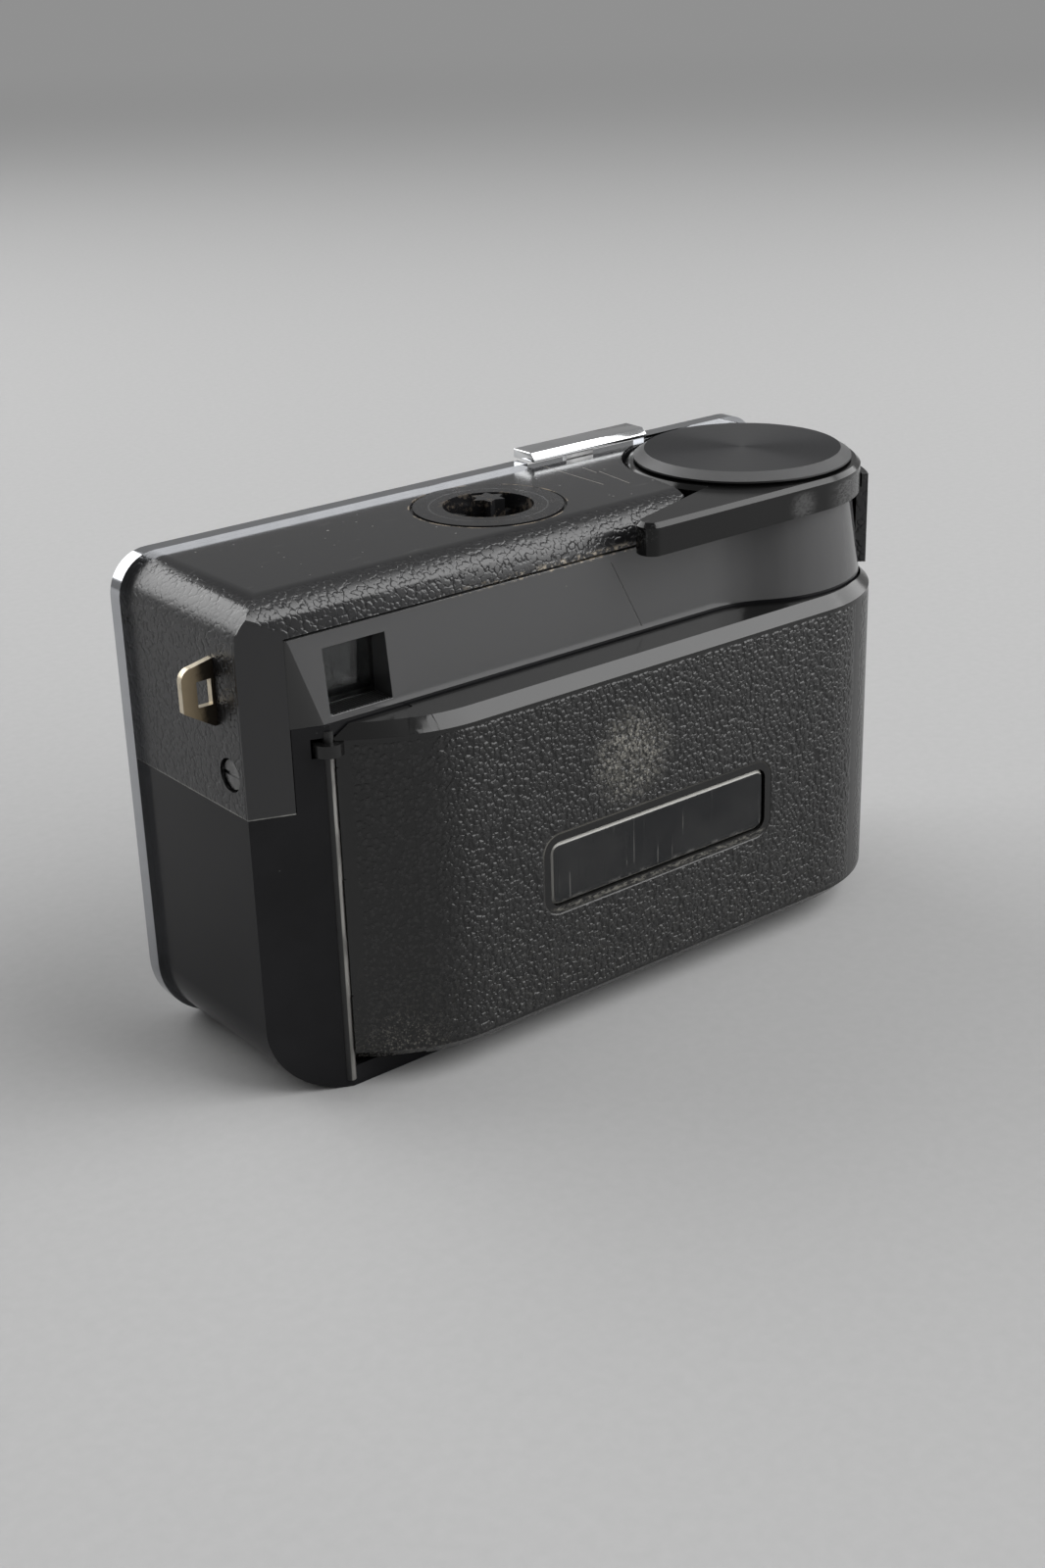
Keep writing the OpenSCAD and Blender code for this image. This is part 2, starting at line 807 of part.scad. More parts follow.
module top_cover() {
  color("#131314") difference() {
    union() {
      difference() {
        cover_form(0);
        cover_form(wall);
        panel_room();
      }
      // Floor and wall of the lever's well, and the socket's collar
      intersection() {
        cover_form(0);
        at_hub(well_floor_z - well_floor_t) linear_extrude(far) slot_plan(wall);
        union() {
          translate([-far, -far, panel_top_z]) cube([2 * far, 2 * far, far]);
          linear_extrude(far) panel_well_plan();
        }
      }
      intersection() {
        cover_form(0);
        at_socket(socket_floor_z) cylinder(h = far, r = socket_ring_r + 1);
      }
    }
    // Room for the lever
    at_hub(well_floor_z) linear_extrude(far) slot_plan(0);
    at_hub(deck_level) cylinder(h = far, r = shaft_r + 0.6);
    // Lower wall behind the lever's ring
    at_hub(wall_top_z) linear_extrude(far) {
      polygon([[0, 0], [-far, 0], [-far, far], [far * cos(wall_end_deg - 8), far * sin(wall_end_deg - 8)]]);
    }
    // Socket, release bar and stem
    at_socket(deck_level) cylinder(h = far, r = socket_ring_r);
    release_recess(seat_gap);
    translate([stem_x - stem_w / 2 - 0.3, case_front_y - 1, deck_level]) {
      cube([stem_w + 0.6, 1 + stem_cut, far]);
    }
    // Slit for the strap lug, and the screw's recess and hole
    translate([side_x - 4, lug_at - lug_t / 2 - run_gap, lug_z - run_gap]) {
      cube([8, lug_t + 2 * run_gap, lug_len + 2 * run_gap]);
    }
    translate([side_x - 1, screw_y, screw_z]) rotate([0, 90, 0]) cylinder(h = 4, r = 2.2);
    translate([side_x - 4, screw_y, screw_z]) rotate([0, 90, 0]) cylinder(h = 4, r = screw_r + 0.1);
  }
}
// Plan inside the finder panel, for the well's floor
module panel_well_plan() {
  panel_plan(panel_lean + panel_wall + 0.1);
  translate([-far, -far]) square([2 * far, far]);
}

module finder_panel() {
  color("#0c0c0d") difference() {
    panel_form(0);
    difference() {
      panel_form(panel_wall);
      translate([eye_x - eye_w / 2 - 1.2, eye_glass_y + glass_t, eye_z - eye_open_h / 2 - 1.2]) {
        cube([eye_w + 2.4, 20, eye_open_h + 2.4]);
      }
    }
    // Keep only the back, up to the cover's end wall
    translate([-far, -far, deck_level - 1]) cube([2 * far, far + eye_glass_y + glass_t, far]);
    translate([hub_x, 0, deck_level - 1]) linear_extrude(far) {
      polygon([
        [0, 0],
        [0, -far],
        [-far, -far],
        [-far, far],
        [far * cos(wall_end_deg - 0.4), far * sin(wall_end_deg - 0.4)]
      ]);
    }
    translate([-far, -far, panel_top_z - seat_gap]) cube([2 * far, 2 * far, far]);
    at_hub(well_floor_z) cylinder(h = far, r = well_r + 3);
    translate([eye_x - eye_w / 2, eye_glass_y, eye_z - eye_open_h / 2]) cube([eye_w, 20, eye_open_h]);
  }
}

module eyepiece_lens() {
  color("#9fa8ab", 0.35) {
    translate([eye_x - eye_w / 2 - 1, eye_glass_y, eye_z - eye_open_h / 2 - eye_lip]) {
      cube([eye_w + 2, glass_t, eye_open_h + 2 * eye_lip]);
    }
  }
}

module finder_tunnel() {
  y0 = front_glass_y + glass_t;
  y1 = eye_glass_y;
  w = eye_w + 2;
  h = eye_open_h + 2 * eye_lip;
  color("#19191a") translate([eye_x - w / 2, y0, eye_z - h / 2]) difference() {
    cube([w, y1 - y0, h]);
    translate([tunnel_wall, -1, tunnel_wall]) {
      cube([w - 2 * tunnel_wall, y1 - y0 + 2, h - 2 * tunnel_wall]);
    }
  }
}

module finder_front_lens() {
  w = front_window_w + 1.6;
  h = front_open_h + 1;
  color("#9fa8ab", 0.35) translate([eye_x - w / 2, front_glass_y, eye_z - h / 2]) {
    cube([w, glass_t, h]);
  }
}

module front_plate() {
  gap = rim_proud - rim_w;
  color("#a9abab") difference() {
    along_y(plate_front_y, case_front_y) {
      front_shape(-gap, rim_w, body_h + rim_rise - rim_w, rim_top_r - 1, base_edge_r - rim_w);
    }
    at_lens(-far) cylinder(h = far, r = mount_r - 3);
    translate([eye_x - front_window_w / 2, -far, eye_z - front_open_h / 2]) {
      cube([front_window_w, far, front_open_h]);
    }
    release_recess(seat_gap);
  }
}

module front_rim() {
  top_z = body_h + rim_rise;
  color("#c9cbcc") difference() {
    along_y(rim_front_y, case_front_y) {
      front_shape(-rim_proud, 0, top_z, rim_top_r, base_edge_r);
    }
    along_y(rim_front_y - 1, case_front_y + 1) {
      front_shape(rim_w - rim_proud, rim_w, top_z - rim_w, rim_top_r - 1, base_edge_r - rim_w);
    }
    release_recess(seat_gap);
  }
}

module lens_mount() {
  flange_t = 1.4;
  color("#141415") difference() {
    union() {
      at_lens(plate_front_y - flange_t) cylinder(h = flange_t, r = mount_r);
      at_lens(lens_front_y + 1) cylinder(h = plate_front_y - lens_front_y - 1, r = tube_r);
      at_lens(plate_front_y) cylinder(h = front_in_y - plate_front_y, r = throat_r - run_gap);
    }
    at_lens(lens_front_y) cylinder(h = 60, r = barrel_bore_r);
  }
}

// Ring that turns round the lens mount to set the exposure
module exposure_ring() {
  y0 = lens_front_y + 3;
  h = plate_front_y - 1.4 - y0 - 1;
  color("#232325") at_lens(y0) difference() {
    union() {
      cylinder(h = h, r = exposure_r);
      translate([-1.5, -exposure_r - 1.4, h - 3.4]) cube([3, 4, 3]);
    }
    translate([0, 0, -1]) cylinder(h = h + 2, r = tube_r + run_gap);
    for (i = [0 : 23]) {
      rotate(i * 15) translate([exposure_r + 0.25, 0, -1]) cylinder(h = 4, r = 0.6, $fn = 16);
    }
  }
}

module front_lens() {
  color("#8fa3ad", 0.35) at_lens(lens_front_y + 3.2) {
    cylinder(h = 2.4, r = barrel_bore_r);
    translate([0, 0, -0.8]) cylinder(h = 0.8, r1 = lens_r - 1, r2 = lens_r);
  }
}

module lens_retainer() {
  color("#b7b9ba") at_lens(lens_front_y) difference() {
    union() {
      cylinder(h = 1, r = tube_r);
      cylinder(h = 3.2, r = barrel_bore_r);
    }
    translate([0, 0, -1]) cylinder(h = 6, r = lens_r + 0.1);
  }
}

module shutter_plate() {
  color("#8e8f90") difference() {
    translate([lens_x - 4 * aperture_r, shutter_y, lens_z - 10 * aperture_r / 3]) {
      cube([8 * aperture_r, shutter_t, blade_arm + 13 * aperture_r / 3]);
    }
    at_lens(shutter_y - 1) cylinder(h = 4, r = aperture_r);
    translate([lens_x, shutter_y - 1, pivot_z]) rotate([-90, 0, 0]) {
      cylinder(h = 4, r = pivot_r);
    }
    translate([lens_x - tail_len - 0.8, shutter_y - 1, stem_z0 - release_travel - seat_gap]) {
      cube([tail_len - 1.8, 4, 12]);
    }
  }
}

module blade_pivot() {
  color("#c2c3c3") translate([lens_x, 0, pivot_z]) {
    translate([0, shutter_y, 0]) rotate([-90, 0, 0]) {
      cylinder(h = blade_y + blade_t + 0.25 - shutter_y, r = pivot_r);
    }
    translate([0, blade_y + blade_t + 0.1, 0]) rotate([-90, 0, 0]) cylinder(h = 0.25, r = 1.6);
  }
}

module shutter_blade() {
  color("#2b2c2e") translate([lens_x, blade_y, pivot_z]) rotate([-90, 0, 0]) {
    linear_extrude(blade_t) difference() {
      union() {
        translate([0, blade_arm]) circle(aperture_r + 2.2);
        circle(2.6);
        translate([-1.6, 0]) square([3.2, blade_arm]);
        translate([-tail_len, -tail_h]) square([tail_len, 2 * tail_h]);
      }
      circle(pivot_r + run_gap);
    }
  }
}

module release_bar() {
  depth = release_back_y - release_front_y;
  color("#d5d7d8") along_x(-release_in - release_len, -release_in) polygon([
    [release_front_y, release_z],
    [release_back_y, release_z],
    [release_back_y, release_z + release_h],
    [release_front_y + depth * 0.12, release_z + release_h * 0.86],
    [release_front_y, release_z + release_h * 0.6]
  ]);
}

// Strip under the bar, with an arm and a finger that reaches the shutter blade
module release_stem() {
  color("#9c9d9e") {
    translate([stem_x - stem_w / 2, stem_y, stem_z0]) cube([stem_w, stem_t, release_z - stem_z0]);
    translate([stem_x, stem_y, stem_z0]) cube([lens_x - 3 - stem_x, stem_t, arm_t]);
    translate([lens_x - tail_len, stem_y, stem_z0]) {
      cube([tail_len - 3, blade_y + blade_t - stem_y, arm_t]);
    }
  }
}

// Bowed leaf that lifts the release stem
module release_spring() {
  w = stem_w - 0.6;
  rise = 3.4;
  leaf = 0.3;
  color("#bdbdb9") translate([stem_x, 0, stem_z0 - 4]) along_y(stem_y, stem_y + stem_t) polygon([
    [-w / 2, 0],
    [-w / 2 + 0.6, 0],
    [0, rise],
    [w / 2 - 0.6, 0],
    [w / 2, 0],
    [0.3, rise + leaf],
    [-0.3, rise + leaf]
  ]);
}

// Lever with a bevel along its upper edge
module winding_lever() {
  edge = 0.6;
  z0 = lever_t - edge;
  front = tip_c + tip_r * arm_side;
  color("#0e0e0f") at_hub(lever_z) difference() {
    union() {
      linear_extrude(z0) lever_plan(0);
      translate([0, 0, z0]) {
        cylinder(h = edge, r1 = ring_r, r2 = ring_r - edge);
        translate(tip_c) cylinder(h = edge, r1 = tip_r, r2 = tip_r - edge);
        difference() {
          linear_extrude(edge) polygon([
            [0, 0],
            [0, ring_r],
            [tip_c[0], ring_r],
            tip_c,
            front,
            front - arm_run * arm_dir
          ]);
          translate([-1, ring_r, 0]) rotate([90, 0, 90]) linear_extrude(far) {
            polygon([[0, 0], [1, 0], [1, edge + 1], [-edge - 1, edge + 1]]);
          }
          translate(front - far * arm_dir) rotate([90, 0, 90 + arm_deg]) linear_extrude(2 * far) {
            polygon([[0, 0], [-1, 0], [-1, edge + 1], [edge + 1, edge + 1]]);
          }
        }
      }
    }
    translate([0, 0, -1]) cylinder(h = lever_t + 2, r = shaft_r);
  }
}

module hub_disc() {
  color("#2c2e31") at_hub(0) {
    translate([0, 0, lever_top_z]) cylinder(h = disc_edge_z - 0.4 - lever_top_z, r = disc_neck_r);
    translate([0, 0, disc_edge_z - 0.4]) cylinder(h = 0.4, r = disc_r);
    translate([0, 0, disc_edge_z]) {
      cylinder(h = disc_top_z - disc_edge_z, r1 = disc_r, r2 = disc_r - disc_bevel);
    }
  }
}

module lever_shaft() {
  color("#b4b5b5") at_hub(0) {
    translate([0, 0, cart_z1 - 2]) cylinder(h = lever_top_z - cart_z1 + 2, r = shaft_r);
  }
}

module shaft_bush() {
  color("#b08d4e") at_hub(0) difference() {
    union() {
      translate([0, 0, deck_under_z]) cylinder(h = deck_t, r = bush_r);
      translate([0, 0, deck_level]) cylinder(h = gear_z - deck_level - 0.3, r = bush_r + 1.4);
    }
    translate([0, 0, deck_under_z - 1]) cylinder(h = 10, r = shaft_r + run_gap);
  }
}

// Flat return spring wound round the lever shaft
module lever_spring() {
  turns = 3;
  band = 0.5;
  step = 12;
  r0 = shaft_r + 0.1;
  r1 = 10.5;
  n = turns * 360 / step;
  color("#8f9192") at_hub(spring_z) linear_extrude(spring_h) {
    polygon(concat(
      [for (i = [0 : n]) (r0 + (r1 - r0) * i / n) * [cos(i * step), sin(i * step)]],
      [for (i = [n : -1 : 0])
        (r0 + band + (r1 - r0) * i / n) * [cos(i * step), sin(i * step)]]
    ));
  }
}

module takeup_dog() {
  z1 = cart_z1 - 0.6;
  color("#a9a9a6") at_hub(0) difference() {
    union() {
      translate([0, 0, cart_z1 - 4]) cylinder(h = 3.4, r = 4.2);
      for (i = [0 : 5]) {
        rotate(i * 60) translate([3.8, -0.5, z1 - 3.4]) cube([1.4, 1, 3.4]);
      }
    }
    translate([0, 0, cart_z1 - 2]) cylinder(h = 10, r = shaft_r);
  }
}

module lever_gear() {
  color("#c8c3b4") at_hub(gear_z) linear_extrude(gear_w) gear_shape(lever_teeth, shaft_r);
}

// Turned so that its gap meets the lever gear's tooth at rest
module idler_gear() {
  color("#c8c3b4") translate([idler_pos[0], idler_pos[1], gear_z]) rotate(idler_turn) {
    linear_extrude(gear_w) gear_shape(idler_teeth, stud_r + run_gap);
  }
}

module idler_stud() {
  color("#b4b5b5") translate([idler_pos[0], idler_pos[1], deck_level]) {
    cylinder(h = gear_z + gear_w + 0.8 - deck_level, r = stud_r);
    cylinder(h = gear_z - deck_level - 0.2, r = stud_r + 1.2);
  }
}

module socket_gear() {
  color("#c8c3b4") at_socket(gear_z) rotate(socket_turn) linear_extrude(gear_w) {
    gear_shape(socket_teeth, stud_r + run_gap);
  }
}

module socket_stud() {
  color("#b4b5b5") at_socket(deck_level) {
    cylinder(h = socket_floor_z - deck_level - 1, r = stud_r);
    cylinder(h = gear_z - deck_level - 0.2, r = stud_r + 1.2);
  }
}

// Fixed cup of the flash socket, let into the cover
module socket_ring() {
  color("#101011") at_socket(0) difference() {
    union() {
      translate([0, 0, socket_floor_z - socket_floor_t]) {
        cylinder(h = socket_depth + socket_floor_t - 0.4, r = socket_ring_r);
      }
      translate([0, 0, body_h - 0.4]) cylinder(h = 0.5, r = socket_ring_r - 0.4);
    }
    translate([0, 0, socket_floor_z]) cylinder(h = far, r = socket_r);
    translate([0, 0, deck_level]) cylinder(h = far, r = shaft_r + run_gap);
  }
}

// Turning part of the socket: plate, ribs and star
module socket_hub() {
  plate_h = 1;
  z0 = socket_floor_z + 0.2;
  rib_h = star_h * 0.6;
  color("#1a1a1b") at_socket(0) {
    difference() {
      union() {
        translate([0, 0, gear_z + gear_w]) cylinder(h = z0 - gear_z - gear_w, r = shaft_r);
        translate([0, 0, z0]) cylinder(h = plate_h, r = socket_r - 0.3);
      }
      translate([0, 0, gear_z]) cylinder(h = socket_floor_z - gear_z - 0.5, r = stud_r + run_gap);
    }
    translate([0, 0, z0 + plate_h]) {
      cylinder(h = star_h * 0.35, r = 2.7);
      linear_extrude(star_h) polygon([
        for (i = [0 : 11]) (i % 2 == 0 ? 2.4 : 1.5) * [cos(i * 30), sin(i * 30)]
      ]);
      for (i = [0 : 7]) {
        rotate(i * 45 + 22.5) translate([3.7, -0.45, 0]) cube([socket_r - 4.2, 0.9, rib_h]);
      }
      for (i = [0 : 3]) {
        rotate(i * 90 + 12) translate([4.2, -1.4, 0]) cube([socket_r - 4.9, 0.8, rib_h * 0.7]);
      }
    }
  }
}

module hinge_pin() {
  color("#b5b5b1") translate([pin_x, pin_y, pin_z0]) cylinder(h = pin_z1 - pin_z0, r = pin_r);
}

// Outline of the door's side, with its bevels, from the axis out to reach
module door_profile(reach, inset) {
  b = door_bevel;
  z0 = door_z0 + inset;
  z1 = door_z1 - inset;
  r = reach - inset;
  polygon([[0, z0], [r - b, z0], [r, z0 + b], [r, z1 - b], [r - b, z1], [0, z1]]);
}

// Door's body: round end, flat back, bend and slanted part, all with the same edge
module door_form(inset) {
  reach = back_y;
  slant_y = back_y - door_bend_r;
  turn = door_bend_r * tan(door_slope / 2);
  flat_end = bend_x - turn;
  intersection() {
    union() {
      translate([door_end_x, 0, 0]) rotate_extrude() door_profile(reach, inset);
      along_x(door_end_x, flat_end) door_profile(reach, inset);
      translate([flat_end, slant_y, 0]) intersection() {
        rotate_extrude() door_profile(door_bend_r, inset);
        translate([0, 0, -1]) cube([far, far, far]);
        rotate(-door_slope) translate([-far, 0, -1]) cube([far, far, far]);
      }
      // The slanted strip lies a hair below the flat
      translate([flat_end, slant_y, 0]) rotate(-door_slope) along_x(-0.5, 40) {
        translate([-60, 0]) door_profile(door_bend_r + 60, inset + strip_step);
      }
    }
    along_y(-far, far) front_shape(inset, 0, far, 1, base_edge_r);
  }
}

module back_door() {
  color("#141415") difference() {
    union() {
      difference() {
        door_form(0);
        door_form(door_t);
        // Front of the door, open towards the case
        translate([-far, -far, 0]) cube([2 * far, far + door_wrap_y, far]);
        door_room();
      }
      door_hooks();
    }
    translate([pin_x, pin_y, 0]) cylinder(h = far, r = pin_r + run_gap);
    window_cut(0);
  }
}

// What the door leaves free: the deck, the finder panel's foot and the base
module door_room() {
  translate([door_edge_x, -far, 0]) cube([far, 2 * far, far]);
  translate([0, 0, -1]) linear_extrude(far) intersection() {
    union() {
      panel_plan(-seat_gap);
      translate([-far, -far]) square([2 * far, far]);
    }
    translate([-far, -far]) square([far + pin_x - pocket_r, 2 * far]);
  }
  translate([0, 0, deck_under_z - seat_gap]) linear_extrude(far) intersection() {
    panel_plan(-seat_gap);
    translate([pin_x - pocket_r - 1, 0]) square(far);
  }
  translate([pin_x - pocket_r - 0.5, pin_y - far - 0.6, 0]) cube([20, far - hook_r, far]);
}

module door_hooks() {
  for (z = [door_z0 + 2, cart_z - 4, pin_show - 9.5]) {
    translate([pin_x, pin_y, z]) difference() {
      cylinder(h = 8, r = hook_r);
      translate([0, -10, -1]) cube([20, 20, 10]);
      translate([-0.6 * pin_r, 0, -1]) cube([20, 20, 10]);
      translate([-10, 0.9, -1]) cube([20, 20, 10]);
    }
  }
  translate([pin_x, pin_y, knuckle_z]) cylinder(h = knuckle_h, r = hook_r);
  translate([pin_x - hook_r - 0.4, pin_y - 0.6, knuckle_z]) cube([hook_r, 1.6, knuckle_h]);
}

// Rounded rectangle of the window, grown by grow
module window_shape(grow) {
  w = window_w / 2 + grow;
  h = window_h / 2 + grow;
  r = window_r + grow;
  translate([window_x, window_level]) {
    square([2 * w - 2 * r, 2 * h], center = true);
    square([2 * w, 2 * h - 2 * r], center = true);
    for (sx = [-1, 1]) {
      for (sz = [-1, 1]) {
        translate([sx * (w - r), sz * (h - r)]) circle(r);
      }
    }
  }
}

module window_cut(grow) {
  along_y(back_y - door_t - 1, back_y + 1) window_shape(grow);
}

module door_window() {
  y1 = back_y - 0.35;
  color("#8c9496", 0.35) {
    along_y(back_y - door_t, y1) window_shape(-run_gap);
    along_y(back_y - door_t - 0.8, back_y - door_t) window_shape(1.6);
  }
}

// Bowed leaf on the door that presses the cartridge against the gate
module pressure_spring() {
  y1 = back_y - door_t;
  leaf_t = 0.3;
  z0 = window_level + window_h / 2 + 4;
  w = 7;
  color("#aeb0b0") translate([window_x, y1, z0]) {
    for (s = [-1, 1]) {
      translate([s * 13 - 3.5, -leaf_t, 0]) cube([7, leaf_t, w]);
      translate([s * 5.1 - 4.6, 0, 0]) linear_extrude(w) polygon([
        [s > 0 ? 0 : 9.2, -2.2],
        [s > 0 ? 9.2 : 0, -leaf_t],
        [s > 0 ? 9.2 : 0, 0],
        [s > 0 ? 0 : 9.2, -2.2 + leaf_t]
      ]);
    }
    translate([-0.7, -2.2, 0]) cube([1.4, leaf_t, w]);
  }
}

module spring_rivets() {
  y1 = back_y - door_t - 0.3;
  z = window_level + window_h / 2 + 7.5;
  color("#c2c3c3") for (s = [-1, 1]) {
    translate([window_x + s * 13, y1, z]) rotate([90, 0, 0]) {
      cylinder(h = 0.6, r1 = 1.4, r2 = 1, $fn = 32);
    }
  }
}

// Sliding catch in the end wall, worked by a thumb tab outside
module latch_slider() {
  x0 = -side_x + wall + 0.2;
  color("#242426") {
    translate([x0, -13, cart_z - 6]) cube([1, 8, 14]);
    translate([x0, -5, cart_z + 4]) cube([0.6, 9.4, 4]);
    translate([-side_x - 0.1, -9.3, cart_z - 1.6]) cube([wall + 0.3, 1.6, 7.6]);
    translate([-side_x - rim_proud, -11.5, cart_z - 0.6]) difference() {
      cube([rim_proud - 0.1, 6, 5.6]);
      for (i = [0 : 2]) {
        translate([-1, -1, 1.2 + i * 1.4]) cube([1.3, 8, 0.5]);
      }
    }
  }
}

module strap_lug() {
  low = 2.5;
  high = 0.6;
  corner = 1.6;
  color("#a58a55") {
    translate([side_x - wall - 1, lug_at - 3.4, lug_z + 0.4]) {
      cube([1, facet_y(side_x - wall, wall) - seat_gap - lug_at + 3.4, lug_len - 0.8]);
    }
    along_y(lug_at - lug_t / 2, lug_at + lug_t / 2) difference() {
      union() {
        polygon([
          [side_x - wall, lug_z],
          [side_x + 0.4, lug_z],
          [side_x + lug_out, lug_z + low],
          [side_x + lug_out, lug_z + lug_len - high - corner],
          [side_x + lug_out - corner, lug_z + lug_len - high],
          [side_x, lug_z + lug_len],
          [side_x - wall, lug_z + lug_len]
        ]);
        translate([side_x + lug_out - corner, lug_z + lug_len - high - corner]) circle(corner);
      }
      translate([side_x + 0.4, lug_z + 2.8]) square([lug_out - 2.4, 3.3]);
    }
  }
}

module side_screw() {
  color("#7f8082") translate([side_x - 1, screw_y, screw_z]) rotate([0, 90, 0]) {
    difference() {
      cylinder(h = 0.6, r = 1.9);
      translate([-0.25, -3, 0.3]) cube([0.5, 6, 1]);
    }
    translate([0, 0, -5.4]) cylinder(h = 5.4, r = screw_r, $fn = 32);
  }
}

// Finger that feels the film's perforation through the gate
module sensing_lever() {
  h = sense_h;
  color("#8e8f90") translate([sense_x, sense_y, sense_z - h / 2]) difference() {
    union() {
      cylinder(h = h, r = 1.7);
      translate([-5.4, -0.6, 0]) cube([5.4, 1.2, h]);
      translate([-5.4, -0.6, 0]) cube([1.6, 5.2, h]);
    }
    translate([0, 0, -1]) cylinder(h = 6, r = sense_pin_r + run_gap);
  }
}

module sensing_pin() {
  color("#c2c3c3") translate([sense_x, sense_y, floor_z / 2]) {
    cylinder(h = sense_z + 1.6 - floor_z / 2, r = sense_pin_r);
  }
}

lower_body();
cartridge_frame();
frame_screws();
light_tunnel();
top_cover();
finder_panel();
eyepiece_lens();
finder_tunnel();
finder_front_lens();
front_plate();
front_rim();
lens_mount();
exposure_ring();
front_lens();
lens_retainer();
shutter_plate();
shutter_blade();
blade_pivot();
release_bar();
release_stem();
release_spring();
winding_lever();
hub_disc();
lever_shaft();
shaft_bush();
lever_spring();
takeup_dog();
lever_gear();
idler_gear();
idler_stud();
socket_ring();
socket_hub();
socket_gear();
socket_stud();
hinge_pin();
back_door();
door_window();
pressure_spring();
spring_rivets();
latch_slider();
strap_lug();
side_screw();
sensing_lever();
sensing_pin();
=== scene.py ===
import json
import math
import bmesh
import bpy
from mathutils import Matrix, Vector


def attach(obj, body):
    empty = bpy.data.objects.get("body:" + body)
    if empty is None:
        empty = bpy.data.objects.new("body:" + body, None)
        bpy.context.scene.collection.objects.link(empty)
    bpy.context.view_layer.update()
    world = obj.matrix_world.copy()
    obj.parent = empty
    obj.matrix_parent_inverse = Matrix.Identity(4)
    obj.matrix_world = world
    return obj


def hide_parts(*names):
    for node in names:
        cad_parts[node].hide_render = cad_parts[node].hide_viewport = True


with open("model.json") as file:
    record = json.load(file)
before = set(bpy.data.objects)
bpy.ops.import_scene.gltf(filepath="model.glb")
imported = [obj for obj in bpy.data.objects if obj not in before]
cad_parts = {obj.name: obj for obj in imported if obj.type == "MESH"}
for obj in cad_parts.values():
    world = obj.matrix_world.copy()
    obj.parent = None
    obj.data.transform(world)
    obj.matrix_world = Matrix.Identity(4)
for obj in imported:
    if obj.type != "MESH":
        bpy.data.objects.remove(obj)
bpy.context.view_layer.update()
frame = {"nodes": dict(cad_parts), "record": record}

mm = 0.001
nodes = frame["nodes"]

# places in millimetres that several finishes and pieces share
socketAt = (5.645, -5.113)
hubAt = (-36.0, 0.0)
windowAt = (-3.1, 23.3)
# the slanted end comes forward by this share of a move sideways
slantRise = math.tan(math.radians(21.3))
dustColour = (0.36, 0.31, 0.24)
# of the clear plastic in the finder, the lens and the door's window
refraction = 1.49


def toMetres(*values):
    return Vector([value * mm for value in values])


def scaled(colour, share):
    return [part * share for part in colour]


# Small helpers for the node trees

def startFinish(name, gloss=0.5):
    finish = bpy.data.materials.new(name)
    finish.use_nodes = True
    tree = finish.node_tree
    shader = tree.nodes["Principled BSDF"]
    shader.inputs["Specular IOR Level"].default_value = gloss
    return finish, tree, shader


def put(tree, kind, settings=None, **inputs):
    # adds one shader node; a socket given as a value is linked
    node = tree.nodes.new("ShaderNode" + kind)
    for key, value in (settings or {}).items():
        setattr(node, key, value)
    for key, value in inputs.items():
        setSocket(tree, node.inputs[key.replace("_", " ")], value)
    return node


def setSocket(tree, socket, value):
    if isinstance(value, bpy.types.NodeSocket):
        tree.links.new(value, socket)
    else:
        socket.default_value = value


def calc(tree, operation, first, second=0.0, clamp=False):
    node = tree.nodes.new("ShaderNodeMath")
    node.operation = operation
    node.use_clamp = clamp
    setSocket(tree, node.inputs[0], first)
    setSocket(tree, node.inputs[1], second)
    return node.outputs[0]


def ramp(tree, value, low, high, start=0.0, end=1.0):
    # eased step from start to end while value goes from low to high
    node = tree.nodes.new("ShaderNodeMapRange")
    node.interpolation_type = "SMOOTHSTEP"
    setSocket(tree, node.inputs["Value"], value)
    for key, number in (("From Min", low), ("From Max", high), ("To Min", start), ("To Max", end)):
        node.inputs[key].default_value = number
    return node.outputs["Result"]


def times(tree, first, *others):
    for other in others:
        first = calc(tree, "MULTIPLY", first, other)
    return first


def plus(tree, first, second):
    return calc(tree, "ADD", first, second)


def minus(tree, first, second):
    return calc(tree, "SUBTRACT", first, second)


def largest(tree, first, *others):
    for other in others:
        first = calc(tree, "MAXIMUM", first, other)
    return first


def blendColour(tree, share, under, over):
    node = tree.nodes.new("ShaderNodeMix")
    node.data_type = "RGBA"
    setSocket(tree, node.inputs[0], share)
    for socket, colour in ((node.inputs[6], under), (node.inputs[7], over)):
        setSocket(tree, socket, colour if isinstance(colour, bpy.types.NodeSocket) else (*colour, 1))
    return node.outputs[2]


def pointInMm(tree):
    # object coordinates, counted in millimetres
    place = put(tree, "TexCoord")
    inMm = tree.nodes.new("ShaderNodeVectorMath")
    inMm.operation = "SCALE"
    tree.links.new(place.outputs["Object"], inMm.inputs[0])
    inMm.inputs["Scale"].default_value = 1 / mm
    split = put(tree, "SeparateXYZ", Vector=inMm.outputs[0])
    return inMm.outputs[0], split.outputs[0], split.outputs[1], split.outputs[2]


def noise(tree, point, scale, detail=2.0, rough=0.5):
    return put(tree, "TexNoise", Vector=point, Scale=scale, Detail=detail, Roughness=rough).outputs[0]


def stretched(tree, point, x, y, z):
    return put(tree, "Mapping", Vector=point, Scale=(x, y, z)).outputs[0]


def distanceTo(tree, point, x, y, z):
    moved = put(tree, "Mapping", Vector=point, Location=(-x, -y, -z)).outputs[0]
    node = tree.nodes.new("ShaderNodeVectorMath")
    node.operation = "LENGTH"
    tree.links.new(moved, node.inputs[0])
    return node.outputs["Value"]


def distanceToAxis(tree, first, second, a, b):
    # distance in the plane of two coordinates from the axis through a and b
    da = minus(tree, first, a)
    db = minus(tree, second, b)
    return calc(tree, "SQRT", plus(tree, times(tree, da, da), times(tree, db, db)))


